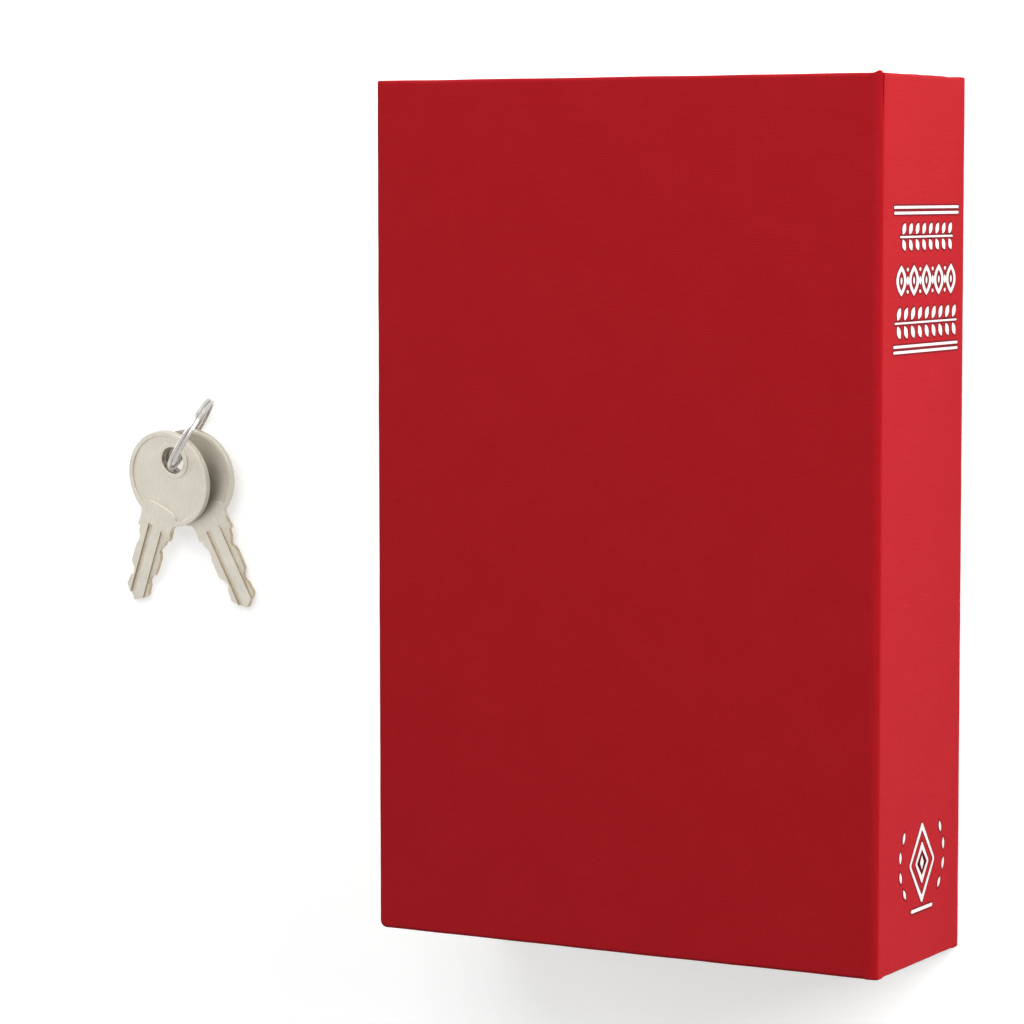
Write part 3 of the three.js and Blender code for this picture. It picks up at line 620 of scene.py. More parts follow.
def metal(name, dark, bright, roughness, grain, depth=0.004, spots=None, flat=False):
    """Metal with fine brushing along the direction in which grain is smallest"""
    finish = Finish(name)
    brushing = finish.noise(finish.place(grain, flat), detail=4, roughness=0.6)
    clouds = finish.noise(finish.place(130), detail=4, roughness=0.6)
    share = finish.blend(brushing, clouds, share=0.6)
    usual = (0.38, 0.62)
    colour = finish.mix(finish.spread(share, usual=usual), dark, bright)
    if spots:
        pits = finish.noise(finish.place(1300), roughness=0.7)
        colour = finish.mix(finish.spread(pits, high=0.55, usual=(0.6, 0.75)), colour, spots)
    finish.shade(Base_Color=colour, Metallic=1.0)
    finish.shade(Roughness=finish.spread(share, *roughness, usual), Normal=finish.bump(brushing, depth))
    return finish.material


# Case of the book

def cover_path(inset, end_x, low_y=TAIL_Y, high_y=HEAD_Y, fore_x=FORE_X,
               radii=(TAIL_CORNER_RADIUS, HEAD_CORNER_RADIUS), steps=COVER_STEPS):
    """Three sides of a cover, drawn in by inset: tail edge, fore-edge and head edge"""
    tail_r, head_r = (max(radius - inset, 0) for radius in radii)
    left, low, high = fore_x + inset, low_y + inset, high_y - inset
    tail = [(x, low) for x in spread(end_x, left + tail_r, steps)]
    fore = [(left, y) for y in spread(low + tail_r, high - head_r, steps)]
    head = [(x, high) for x in spread(left + head_r, end_x, steps)]
    tail_corner = arc((left + tail_r, low + tail_r), tail_r, 270, 180)
    head_corner = arc((left + head_r, high - head_r), head_r, 180, 90)
    return [*tail, *tail_corner, *fore[1:], *head_corner, *head[1:], (end_x, high)]


def uneven(point, amount):
    """Shifts a point a little, as hand-laid cloth lies a little unevenly, but not at the joint"""
    x, y, z = point
    amount *= min(1.0, (JOINT_X - x) / EVEN_BESIDE_JOINT)
    shift_x = noise.noise(Vector(point) / CLOTH_WAVES[0])
    shift_y = noise.noise(Vector(point) / CLOTH_WAVES[1] + WAVES_APART)
    return x + amount * shift_x, y + amount * shift_y, z


def cover_cloth(name, outer_z, inward):
    """Cloth over one cover: its side on the board, then the turn-in, the edge and the outer face"""
    r = EDGE_RADIUS
    inside = COVER_THICKNESS
    glued = CLOTH_THICKNESS
    flat = 3 * r
    profile = [(flat, glued), (glued, glued), (glued, inside - glued), (TURN_IN, inside - glued)]
    profile += [(TURN_IN, inside - TURN_IN_ROUNDING), (TURN_IN - TURN_IN_ROUNDING, inside)]
    profile += [*arc((r, inside - r), r, 90, 180), *arc((r, r), r, 180, 270), (flat, 0)]
    rings = []
    for inset, depth in profile:
        path = lift(cover_path(inset, JOINT_X), outer_z + inward * depth)
        amount = OUTSIDE_UNEVENNESS if inset < TURN_IN else TURN_IN_UNEVENNESS
        rings.append([uneven(point, amount) for point in path])
    vertices, faces = loft(rings, closed=False, first_cap=True, last_cap=True)
    count = len(rings[0])
    at_tail = [ring * count for ring in range(len(rings))]
    faces.append((*at_tail, *(first + count - 1 for first in reversed(at_tail))))
    return make_piece(name, vertices, faces)


def hump(value, middle, width):
    """A smooth rise to 1 at middle"""
    return math.exp(-((value - middle) / width) ** 2)


def clamp(value):
    """The value, kept from 0 to 1"""
    return min(1.0, max(0.0, value))


def joint_outline(end_depth):
    """Places across the outside of a joint, from cover to spine, and the directions that they face"""
    steps = range(1, BEND_STEPS + 1)
    gentle = [BEND_CHANGE * step / BEND_STEPS for step in steps]
    tight = [BEND_CHANGE + (90 - BEND_CHANGE) * step / BEND_STEPS for step in steps]
    change = math.radians(BEND_CHANGE)
    x = SPINE_X - GENTLE_BEND * math.sin(change) - TIGHT_BEND * (1 - math.sin(change))
    depth = 0.0
    outline = [(JOINT_X, depth), (x, depth)]
    facings = [(0, -1), (0, -1)]
    before = 0.0
    for degrees in gentle + tight:
        a = math.radians(degrees)
        radius = GENTLE_BEND if degrees <= BEND_CHANGE else TIGHT_BEND
        x += radius * (math.sin(a) - math.sin(before))
        depth += radius * (math.cos(before) - math.cos(a))
        outline.append((x, depth))
        facings.append((math.sin(a), -math.cos(a)))
        before = a
    outline += [(SPINE_X, (depth + end_depth) / 2), (SPINE_X, end_depth)]
    facings += [(1, 0), (1, 0)]
    return list(zip(outline, facings))


def joint_cloth(name, outer_z, end_z, peak_height, crease_depth):
    """Folded cloth that bends round the corner between a cover and the spine, thicker at its ends"""
    inward = math.copysign(1, end_z - outer_z)
    outline = joint_outline(abs(end_z - outer_z))
    last = len(outline) - 1

    def ring(y, drawn_in):
        from_end = clamp(min(HEAD_Y - y, y - TAIL_Y) / JOINT_END_LENGTH)
        thickening = 0.5 + 0.5 * math.cos(math.pi * from_end)
        thickness = JOINT_FOLD_THICKNESS - drawn_in
        thickness += (JOINT_END_THICKNESS - JOINT_FOLD_THICKNESS) * thickening
        rising = max(0.0, (y - HEAD_Y + PEAK_LENGTH) / PEAK_LENGTH)
        fading = clamp((y - HEAD_Y + CREASE_LENGTH) / CREASE_FADE)
        outside, within = [], []
        for i, ((x, depth), (nx, nd)) in enumerate(outline):
            share = i / last
            window = math.sin(math.pi * share)
            lifted = y + peak_height * hump(share, *PEAK_PLACE) * rising * window
            crease = crease_depth * hump(share, *CREASE_PLACE) * fading
            waves = noise.noise(Vector((y / JOINT_WAVES[0], i / JOINT_WAVES[1], 0)))
            lie = JOINT_UNEVENNESS * waves * window
            offset = lie - crease - drawn_in
            outside.append((x + nx * offset, lifted, outer_z + inward * (depth + nd * offset)))
            within.append((min(x, SPINE_X - thickness), lifted, outer_z + inward * max(depth, thickness)))
        return outside + within[::-1]

    half = JOINT_FOLD_THICKNESS / 2
    quarter = [math.radians(turn) for turn in range(0, 90, 15)]
    tail = [ring(TAIL_Y + half - half * math.sin(a), half - half * math.cos(a)) for a in reversed(quarter)]
    head = [ring(HEAD_Y - half + half * math.sin(a), half - half * math.cos(a)) for a in quarter]
    middle = [ring(y, 0) for y in spread(TAIL_Y + half, HEAD_Y - half, JOINT_RINGS)]
    return solid(name, tail + middle[1:] + head)


def spine_cloth():
    """Cloth of the spine with its head and tail turned in over the board"""
    r = EDGE_RADIUS
    inner, outer = SPINE_INNER_X, SPINE_X
    fold = CLOTH_THICKNESS
    half = [
        *arc((outer - r, HEAD_Y - r), r, 0, 90),
        *arc((inner + r, HEAD_Y - r), r, 90, 180),
        (inner, HEAD_Y - SPINE_TURN_IN),
        (inner + fold, HEAD_Y - SPINE_TURN_IN),
        (inner + fold, HEAD_Y - fold),
        (outer - fold, HEAD_Y - fold),
    ]
    section = half + [(x, -y) for x, y in reversed(half)]
    rings = []
    for step in range(SPINE_RINGS + 1):
        z = SPINE_LOW_Z + (SPINE_HIGH_Z - SPINE_LOW_Z) * step / SPINE_RINGS
        taper = math.sin(math.pi * step / SPINE_RINGS) ** 0.5
        ring = []
        for x, y in section:
            near_end = max(0.0, (abs(y) - HEAD_Y + SPINE_END_LENGTH) / SPINE_END_LENGTH)
            place = Vector((z / SPINE_WAVES[0], y / SPINE_WAVES[1], 0))
            wave = OUTSIDE_UNEVENNESS * noise.noise(place)
            if y > 0:
                wave -= SPINE_DIP * hump(z, *SPINE_DIP_PLACE)
            ring.append((x, y + wave * near_end * taper, z))
        rings.append(ring)
    return solid("spine_cloth_cover", rings)


# Foil on the spine. Drawn to the right and up, as seen with the head of the book up.

def bar_loop(middle, half_length, width):
    """A bar with rounded ends"""
    x, y = middle
    reach = half_length - width / 2
    return arc((x + reach, y), width / 2, -90, 90) + arc((x - reach, y), width / 2, 90, 270)


def leaf_loop(middle, length, width, turn=0):
    """A pointed leaf about its middle. turn is in degrees from upright."""
    outline = []
    for side in (1, -1):
        for step in range(LEAF_STEPS):
            along = side * (2 * step / LEAF_STEPS - 1)
            outline.append((side * width / 2 * (1 - along * along), along * length / 2))
    a = math.radians(turn)
    return [
        (middle[0] + x * math.cos(a) - y * math.sin(a), middle[1] + x * math.sin(a) + y * math.cos(a))
        for x, y in outline
    ]


def laurel_band(y, half_length, leaves, height):
    """A stem with leaves in pairs along it"""
    loops = [[bar_loop((0, y), half_length, STEM_WIDTH)]]
    pitch = 2 * half_length / leaves
    leaf_length, leaf_width, from_stem = height * 0.46, pitch * 0.5, height * 0.29
    for i in range(leaves):
        x = -half_length + (i + 0.5) * pitch
        for side in (1, -1):
            middle = (x + LEAF_SHIFT, y + side * from_stem)
            loops.append([leaf_loop(middle, leaf_length, leaf_width, -side * LEAF_LEAN)])
    return loops


def lozenge_band(y, half_length, count, height):
    """Outlined lozenges, each with a core, and a small leaf and two dots between them"""
    loops = []
    pitch = 2 * half_length / count
    outer, hollow = (height, pitch * 0.78), (height * 0.66, pitch * 0.42)
    core, small = (height * 0.26, pitch * 0.14), (height * 0.3, pitch * 0.2)
    dot_reach = height * 0.36
    for i in range(count):
        x = -half_length + (i + 0.5) * pitch
        loops.append([leaf_loop((x, y), *outer), leaf_loop((x, y), *hollow)[::-1]])
        loops.append([leaf_loop((x, y), *core)])
        if i:
            between = x - pitch / 2
            loops.append([leaf_loop((between, y), *small)])
            for side in (1, -1):
                loops.append([leaf_loop((between, y + side * dot_reach), DOT_LENGTH, DOT_WIDTH)])
    return loops


def lozenge_loop(middle, width, height):
    """A lozenge whose points are a little blunt"""
    x, y = middle
    blunt = 0.04
    outline = []
    for across, up in ((1, 0), (0, 1), (-1, 0), (0, -1)):
        for side in (1, -1):
            corner_x = across * (1 - blunt) + side * up * blunt
            corner_y = up * (1 - blunt) - side * across * blunt
            outline.append((x + corner_x * width / 2, y + corner_y * height / 2))
    return outline


def lozenge_device(middle, width, height, line):
    """Lozenges one within the other on a short foot, with a leaf at each of four places on both sides"""
    x, y = middle
    core = (width * 0.14, height * 0.17)
    foot_y, foot_half_length = y - height / 2 - line * 1.4, width * 0.42
    leaf, reach, rise = (line * 3.4, line * 1.5), width * 0.86, height * 0.58
    loops = []
    for share in (1.0, 0.52):
        outline = lozenge_loop(middle, width * share, height * share)
        hollow = lozenge_loop(middle, width * share - line * 2.3, height * share - line * 4.6)
        loops.append([outline, hollow[::-1]])
    loops.append([lozenge_loop(middle, *core)])
    loops.append([bar_loop((x, foot_y), foot_half_length, line)])
    for side in (1, -1):
        for turn in (-38, -14, 10, 34):
            a = math.radians(turn)
            place = (x + side * reach * math.cos(a), y + rise * math.sin(a) + line)
            loops.append([leaf_loop(place, *leaf, turn=side * (turn - 8) * 0.7)])
    return loops


def on_spine(piece):
    """Turns a flat drawing so that it lies on the outside of the spine"""
    piece.data.transform(Matrix(((0, 0, 1, 0), (0, 1, 0, 0), (-1, 0, 0, 0), (0, 0, 0, 1))))
    return move(piece, SPINE_X, 0, SPINE_MIDDLE_Z - FOIL_SHIFT)


def spine_foil(name, groups):
    """White foil, and a darker cloth round it as painted shade of the pressed-in edge, at heights at which
    no two borders coincide
    """
    top = [flat_plate("part", loops, FOIL_THICKNESS) for loops in groups]
    dress(on_spine(merge(name, top)), "case_and_box", white_foil)
    pressed = []
    for number, loops in enumerate(groups):
        thickness = FOIL_THICKNESS * BORDER_SHARES[number % len(BORDER_SHARES)]
        pressed.append(flat_plate("part", loops, thickness, grow=FOIL_PRESS))
    # The darker border round the foil is painted shade of the pressed-in edge.
    border = on_spine(merge(f"{name}_pressed_cloth_painted_shade", pressed))
    lay_flat(border)
    dress(border, "case_and_box", pressed_linen)


# Page block

def page_block():
    """Trimmed leaves with the middle cut away, each leaf a little in or out of line"""
    (x0, _), (y0, _), (z0, z1) = limits("tail_pages")
    (_, x1), (_, y1), _ = limits("head_pages")
    opening_x = (limits("fore_edge_pages")[0][1], limits("spine_pages")[0][0])
    opening_y = (limits("tail_pages")[1][1], limits("head_pages")[1][0])

    def frame_ring(x_limits, y_limits, z, amount, seed):
        (a, b), (c, d) = x_limits, y_limits
        corners = [(a, c), (b, c), (b, d), (a, d)]
        middle_x, middle_y = (a + b) / 2, (c + d) / 2
        ring = []
        for (px, py), (qx, qy) in zip(corners, corners[1:] + corners[:1]):
            for share in spread(0, 1, LEAF_SEGMENTS):
                x, y = px + (qx - px) * share, py + (qy - py) * share
                place = Vector((x / SLIP_LENGTH, y / SLIP_LENGTH, seed * SEED_STEP))
                slip = amount * (0.5 + noise.noise(place))
                x -= math.copysign(slip, x - middle_x)
                y -= math.copysign(slip, y - middle_y)
                ring.append((x, y, z))
        return ring

    outer, inner = [], []
    for leaf in range(LEAVES):
        low = z0 + (z1 - z0) * leaf / LEAVES
        high = z0 + (z1 - z0) * (leaf + 1) / LEAVES
        outer += [frame_ring((x0, x1), (y0, y1), z, OUTSIDE_SLIP, leaf) for z in (low, high)]
        seed = leaf + INSIDE_SEED
        inner += [frame_ring(opening_x, opening_y, z, INSIDE_SLIP, seed) for z in (low, high)]
    return make_piece("page_block", *loft(outer + inner[::-1], wrap=True))


# Steel box

def tray():
    """A folded tray with a bend round its floor and a rounded rim"""
    x_limits, y_limits, (z0, z1) = limits("box_tray")
    bend, rim = TRAY_BEND, TRAY_RIM_RADIUS
    profile = [*arc((bend, z0 + bend), bend, 270, 180), *arc((rim, z1 - rim), rim, 180, 90, 3)]
    profile += arc((SHEET - rim, z1 - rim), rim, 90, 0, 3)
    profile += arc((bend, z0 + bend), bend - SHEET, 180, 270)
    rings = [lift(rounded_rectangle(x_limits, y_limits, TRAY_CORNER, inset), z) for inset, z in profile]
    return solid("steel_tray", rings)


def lid():
    """A folded lid: a plate with rounded edges, and a lip down three of its sides"""
    x_limits, y_limits, (z0, z1) = limits("box_lid")
    edge = LID_EDGE_RADIUS
    low = z1 - SHEET
    profile = [(LID_FLAT_INSET, low), *arc((edge, low + edge), edge, 270, 180, 3)]
    profile += [*arc((edge, z1 - edge), edge, 180, 90, 3), (LID_FLAT_INSET, z1)]
    rings = [lift(rounded_rectangle(x_limits, y_limits, LID_CORNER, inset), z) for inset, z in profile]
    plate = solid("plate", rings)
    outer, inner = LIP_GAP, LIP_GAP + SHEET
    lip_profile = [(outer, low + edge), (outer, z0 + edge), (outer + edge, z0)]
    lip_profile += [(inner - edge, z0), (inner, z0 + edge), (inner, low + edge)]
    lip_end = x_limits[1] - LIP_SHORTFALL
    lip_rings = []
    for inset, z in lip_profile:
        path = cover_path(inset, lip_end, *y_limits, x_limits[0], (LIP_CORNER, LIP_CORNER), steps=4)
        lip_rings.append(lift(path, z))
    vertices, faces = loft(lip_rings, closed=False, wrap=True)
    count = len(lip_rings[0])
    faces.append(tuple(ring * count for ring in range(len(lip_rings))))
    faces.append(tuple(ring * count + count - 1 for ring in range(len(lip_rings))))
    return merge("steel_lid", [plate, make_piece("lip", vertices, faces)])


def hinge_leaf(side, first, lie):
    """A leaf curled into knuckles. Section drawn with the plate to the left and the pin at the origin."""
    pin_x, _, pin_z = middle_of("hinge_pin")
    (x0, x1), (y0, y1), (z0, z1) = limits(f"{side}_hinge_leaf")
    reach = pin_x - x0 if x1 - x0 > z1 - z0 else pin_z - z0
    top, under = KNUCKLE_RADIUS, KNUCKLE_RADIUS - SHEET
    plate_end = -KNUCKLE_RADIUS - KNUCKLE_GAP
    curl_start = plate_end - KNUCKLE_OVERLAP

    def prism(section, start, end):
        rings = []
        for y in (start, end):
            points = [lie(x, z) for x, z in section]
            rings.append([(pin_x + x, y, pin_z + z) for x, z in points])
        return solid("prism", rings)

    meeting = math.degrees(math.asin(under / KNUCKLE_BORE))
    curl = [(curl_start, top), *arc((0, 0), KNUCKLE_RADIUS, 90, CURL_END, steps=28)]
    curl += [*arc((0, 0), KNUCKLE_BORE, CURL_END, 180 - meeting, steps=24), (curl_start, under)]
    plate = [(-reach, top), (plate_end, top), (plate_end, under), (-reach, under)]
    parts = [prism(plate, y0, y1)]
    pitch = (y1 - y0) / KNUCKLES
    for i in range(first, KNUCKLES, 2):
        start = y0 + i * pitch
        parts.append(prism(curl, start + KNUCKLE_GAP / 2, start + pitch - KNUCKLE_GAP / 2))
    return merge(f"{side}_leaf", parts)


def hinge_pin():
    """A pin with domed ends"""
    (x0, x1), (y0, y1), _ = limits("hinge_pin")
    x, _, z = middle_of("hinge_pin")
    radius, length = (x1 - x0) / 2, y1 - y0
    end = dome(radius, length, radius / 2, steps=3)
    start = [(r, length - height) for r, height in reversed(end)]
    pin = turned("hinge_pin_rod", start + end, sides=32)
    pin.data.transform(Matrix.Rotation(-math.pi / 2, 4, "X"))
    return move(pin, x, y0, z)


def rivet(node, along_x):
    """A rivet with a domed head at each end"""
    box = limits(node)
    axis = 0 if along_x else 2
    low, high = box[axis]
    radius = (box[1][1] - box[1][0]) / 2
    top = [(RIVET_SHANK_RADIUS, high - RIVET_HEAD), *dome(radius, high, RIVET_HEAD, steps=6)]
    bottom = [(r, low + high - z) for r, z in reversed(top)]
    piece = turned(f"{node}_domed", bottom + top, sides=32)
    place = middle_of(node)
    place[axis] = 0
    if along_x:
        piece.data.transform(Matrix.Rotation(math.pi / 2, 4, "Y"))
    return move(piece, *place)


# Lock

def at_lock(piece):
    """Moves a piece that was drawn about the Z axis to the middle of the lock"""
    x, y, _ = middle_of("lock_body")
    return move(piece, x, y, 0)


def lock_housing():
    """Flanged barrel with thread ridges, and flats on two sides"""
    (x0, x1), _, (z0, z1) = limits("lock_body")
    (plug_x0, plug_x1), _, _ = limits("lock_plug")
    flange = (x1 - x0) / 2 - FLANGE_ROUNDING
    face = (plug_x1 - plug_x0) / 2 + LOCK_GAP
    bore = face - LOCK_LEDGE
    ledge = z1 - LOCK_FACE_DEPTH
    seat = z1 - FLANGE_HEIGHT
    profile = [(bore, z0), (bore, ledge), (face, ledge)]
    profile += [(face, z1 - LOCK_CHAMFER), (face + LOCK_CHAMFER, z1)]
    profile += arc((flange, z1 - FLANGE_ROUNDING), FLANGE_ROUNDING, 90, 0)
    profile += [((x1 - x0) / 2, seat), (BARREL_RADIUS, seat)]
    z = seat - THREAD_START
    while z > z0 + RIDGE_PITCH:
        profile += [(BARREL_RADIUS, z), (BARREL_RADIUS - RIDGE_HEIGHT, z - RIDGE_PITCH / 2)]
        z -= RIDGE_PITCH
    profile.append((BARREL_RADIUS - LEAD_IN, z0))

    def flats(point):
        x, y, z = point
        if z < seat - FLAT_START:
            y = max(-BARREL_FLAT, min(BARREL_FLAT, y))
        return x, y, z

    return at_lock(turned("lock_housing", profile, wrap=True, shape=flats))


def lock_core():
    """The plug with its keyway, and the square tail that carries the cam"""
    (x0, x1), _, (z0, z1) = limits("lock_plug")
    _, _, (_, cam_top) = limits("lock_cam")
    face = (x1 - x0) / 2
    shank = face - PLUG_STEP
    end = cam_top + OVERLAP
    step = z1 - LOCK_FACE_DEPTH + LOCK_GAP
    rounding = PLUG_ROUNDING
    profile = [(0, end), (shank - PLUG_CHAMFER, end), (shank, end + PLUG_CHAMFER)]
    profile += [(shank, step), (face, step)]
    profile += [*arc((face - rounding, z1 - rounding), rounding, 0, 90), (0, z1)]
    plug = turned("lock_plug_face", profile)
    sides = (-PLUG_TAIL_HALF_WIDTH, PLUG_TAIL_HALF_WIDTH)
    square = rounded_rectangle(sides, sides, 0, steps=1)
    tail = solid("tail", [lift(square, z0), lift(square, end + OVERLAP)])
    wide, narrow = KEYWAY_HALF_WIDTH, KEYWAY_HALF_WIDTH - WARD_WIDTH
    half = [
        (-wide, -KEYWAY_HALF_LENGTH), (wide, -KEYWAY_HALF_LENGTH), (wide, -WARD_END),
        (narrow, -WARD_END), (narrow, -WARD_START), (wide, -WARD_START),
    ]
    keyway = half + [(-x, -y) for x, y in half]
    levels = [lift(keyway, z) for z in (z1 - KEYWAY_DEPTH, z1 + BEYOND)]
    carve(plug, [solid("cutter", levels)])
    return at_lock(merge("lock_plug_face", [plug, tail]))


def lock_washer():
    """A flat washer with eased edges"""
    (x0, x1), _, (z0, z1) = limits("lock_washer")
    bore, outer, edge = BARREL_RADIUS + LOCK_GAP, (x1 - x0) / 2, WASHER_EDGE
    profile = [(bore, z0), (outer - edge, z0), (outer, z0 + edge)]
    profile += [(outer, z1 - edge), (outer - edge, z1), (bore, z1)]
    return at_lock(turned("lock_flat_washer", profile, wrap=True))


def hex_nut():
    """A nut whose corners are turned off at both faces"""
    (x0, x1), (y0, y1), (z0, z1) = limits("lock_nut")
    across_flats = min(x1 - x0, y1 - y0)
    bore = BARREL_RADIUS + LOCK_GAP
    sixth = math.pi / 3
    flats_along_x = (x1 - x0) < (y1 - y0)
    first_flat = sixth / 2 if flats_along_x else sixth

    def ring(limit, z):
        points = []
        for side in range(NUT_SIDES):
            a = 2 * math.pi * side / NUT_SIDES
            from_flat = (a + first_flat) % sixth - sixth / 2
            radius = min(across_flats / 2 / math.cos(from_flat), limit)
            points.append((radius * math.cos(a), radius * math.sin(a), z))
        return points

    turned_off = across_flats / 2 - NUT_CORNER_CUT
    corner = across_flats / math.sqrt(3)
    rings = [ring(bore, z0), ring(turned_off, z0), ring(corner, z0 + NUT_BEVEL)]
    rings += [ring(corner, z1 - NUT_BEVEL), ring(turned_off, z1), ring(bore, z1)]
    return at_lock(make_piece("lock_hex_nut", *loft(rings, wrap=True)))


# Keys

def key_outline():
    """Round bow, waisted neck, shoulders, cut blade and pointed tip, anticlockwise"""
    neck = math.degrees(math.acos(NECK_HALF_WIDTH / BOW_RADIUS))
    bow = arc((0, 0), BOW_RADIUS, -neck, 180 + neck, BOW_STEPS)
    left = [
        (-6.0, -15.6), (-6.25, -18.6), (-6.2, -19.1), (-5.3, -19.4), (-5.2, -21), (-4.6, -22.1),
        (-4.4, -23.4), (-4.5, -24.8), (-4.95, -25.4), (-5.0, -31.4), (-4.7, -32.1), (-3.5, -33.2),
        (-3.2, -34.2), (-3.2, -35.2), (-3.9, -36), (-4.35, -39.4), (-4.2, -39.9),
    ]
    tip = [(-2.6, -41.6), (-0.5, -43.3), (-0.1, -TIP_REACH), (1.2, -42.6), (3.5, -40.6)]
    right = [
        (4.0, -39.7), (3.7, -38.6), (3.6, -36.4), (3.0, -35.6), (3.0, -34.3), (3.4, -33.4),
        (4.4, -32.4), (4.6, -31.4), (4.75, -26.2), (4.4, -24.9), (3.8, -24.2), (3.8, -23.4),
        (4.8, -21.5), (5.2, -19.4), (6.1, -19.2), (6.25, -18.6), (6.0, -15.6),
    ]
    return bow + left + tip + right


def field_outline():
    """Sunken part of the bow: round, with the neck's raised tongue reaching into it"""
    radius = BOW_RADIUS - RIM_WIDTH
    side = math.degrees(math.acos(TONGUE_HALF_WIDTH / radius))
    round_part = arc((0, 0), radius, -side, 180 + side, steps=64)
    tongue = [(-6.6, -10.7), (-5.9, -10.0), (-4.9, -9.5), (-3.4, -9.3), (0, -9.15)]
    return round_part + tongue + [(-x, y) for x, y in reversed(tongue[:-1])]


def full_circle(middle, radius, steps):
    """Points once round a circle, without the first one again"""
    return arc(middle, radius, 0, 360, steps)[:-1]


def groove(x0, x1, face, into):
    """A cutter for a milled groove, whose end slopes up to the face of the key"""
    floor, out = face + into, face - into
    rings = []
    for y, z in ((-TIP_REACH - 2 * BEYOND, floor), (-GROOVE_FOOT, floor), (-GROOVE_TOP, out)):
        rings.append([(x0, y, z), (x1, y, z), (x1, y, out), (x0, y, out)])
    return make_piece("groove", *loft(rings, first_cap=True))


def key_shape(name):
    """A key about the middle of its hole: the cut blank, and the floor of the bow's sunken fields"""
    hole = full_circle((0, HOLE_OFFSET), HOLE_RADIUS, ROUND_STEPS)[::-1]
    boss = full_circle((0, HOLE_OFFSET), BOSS_RADIUS, ROUND_STEPS)
    loops = [key_outline(), field_outline()[::-1], boss, hole]
    blank = flat_plate("blank", loops, KEY_THICKNESS, bevel=KEY_EDGE_RADIUS)
    carve(blank, [
        groove(-GROOVE_FAR, -GROOVE_NEAR, KEY_THICKNESS, -GROOVE_DEPTH),
        groove(GROOVE_NEAR, GROOVE_FAR, 0, GROOVE_DEPTH),
        groove(STEP_NEAR, STEP_FAR, KEY_THICKNESS, -STEP_DEPTH),
        groove(-STEP_FAR, -STEP_NEAR, 0, STEP_DEPTH),
    ])
    disc = full_circle((0, 0), BOW_RADIUS - FLOOR_INSET, BOW_STEPS)
    floor = flat_plate("floor", [disc, hole], KEY_THICKNESS - 2 * FIELD_DEPTH)
    floor.data.transform(Matrix.Translation((0, 0, FIELD_DEPTH * MM)))
    piece = merge(name, [blank, floor])
    piece.data.transform(Matrix.Translation((0, -HOLE_OFFSET * MM, 0)))
    return piece


def finish_cuts(piece):
    """Bare brass where the blade is cut, and a darker copy of the nickel in the grooves and on the steps of
    the bow, as painted shade
    """
    piece.data.materials.append(cut_brass)
    piece.data.materials.append(dull_nickel)
    brass_slot, shade_slot = 1, 2
    upright, sloping = 0.3, 0.8
    near_face, near_shoulder, near_rim = 0.3 * MM, 3 * MM, 0.4 * MM
    bow_middle = Vector((0, -HOLE_OFFSET * MM))
    bow_foot = -(BOW_RADIUS + HOLE_OFFSET) * MM
    blade_top = -(SHOULDER_REACH + HOLE_OFFSET) * MM + near_shoulder
    for face in piece.data.polygons:
        tilt = abs(face.normal.z)
        in_groove = near_face < face.center.z < KEY_THICKNESS * MM - near_face
        if tilt < upright and face.center.y < blade_top:
            face.material_index = brass_slot
        # Grooves and the walls of the bow's sunken field take the darker nickel: painted shade.
        elif in_groove and face.center.y < bow_foot:
            face.material_index = shade_slot
        elif tilt < sloping and (face.center.xy - bow_middle).length < BOW_RADIUS * MM - near_rim:
            face.material_index = shade_slot


def key(name, joint_name, body, node):
    """One key, laid where its joint's place and axis say"""
    piece = key_shape(name)
    lay_flat(piece)
    dress(piece, body, nickel, [node], sharp=25)
    finish_cuts(piece)
    joint = next(j for j in frame["joints"] if j["name"] == joint_name)
    up = Vector(joint["axis"])
    if up.z < 0:
        up = -up
    tilt = math.acos(up.z / up.length)
    heading = math.atan2(up.x, -up.y)
    turn = Matrix.Rotation(heading, 4, "Z") @ Matrix.Rotation(tilt, 4, "X")
    piece.data.transform(Matrix.Translation(joint["pos_m"]) @ turn)


# Split ring

def squarer(value):
    """A sine or cosine value pushed outward, which makes a round section squarer"""
    return math.copysign(abs(value) ** RING_SQUARENESS, value)


def split_ring():
    """Two flat turns of one wire, which step over each other between the wire's ends"""
    half_jog = math.radians(RING_HALF_JOG)
    mean = RING_OUTER_RADIUS - RING_WIRE_HEIGHT / 2
    rings = []
    for step in range(WIRE_STEPS + 1):
        a = half_jog + (4 * math.pi - 2 * half_jog) * step / WIRE_STEPS
        rise = max(-1.0, min(1.0, (a - 2 * math.pi) / half_jog))
        height = RING_TURN_PITCH / 2 * rise
        turn = a + math.radians(RING_END_TURN)
        from_end = min(step, WIRE_STEPS - step)
        shrink = RING_END_SHRINK[from_end] if from_end < len(RING_END_SHRINK) else 1
        ring = []
        for side in range(WIRE_SIDES):
            t = 2 * math.pi * side / WIRE_SIDES
            reach = mean + RING_WIRE_HEIGHT / 2 * squarer(math.cos(t)) * shrink
            sideways = RING_WIRE_WIDTH / 2 * squarer(math.sin(t)) * shrink
            ring.append((reach * math.cos(turn), reach * math.sin(turn), height + sideways))
        rings.append(ring)
    piece = solid("split_ring_wire", rings)
    heading = Matrix.Rotation(math.radians(RING_HEADING), 4, "Z")
    lean = Matrix.Rotation(math.radians(90 + RING_LEAN), 4, "X")
    piece.data.transform(heading @ lean)
    return move(piece, *middle_of("split_ring"))


# CAD nodes that stay

def soften(node, width, material):
    """Rounds the edges of a CAD node, without changing its mesh, and gives it its finish"""
    thing = frame["nodes"][node]
    configure(thing.modifiers.new("weld", "WELD"), merge_threshold=WELD_DISTANCE * MM)
    if width:
        bevel = thing.modifiers.new("bevel", "BEVEL")
        configure(bevel, width=width * MM, segments=2, limit_method="ANGLE", angle_limit=math.radians(50))
    thing.modifiers.new("normals", "WEIGHTED_NORMAL")
    thing.data.materials.clear()
    thing.data.materials.append(material)


# Camera

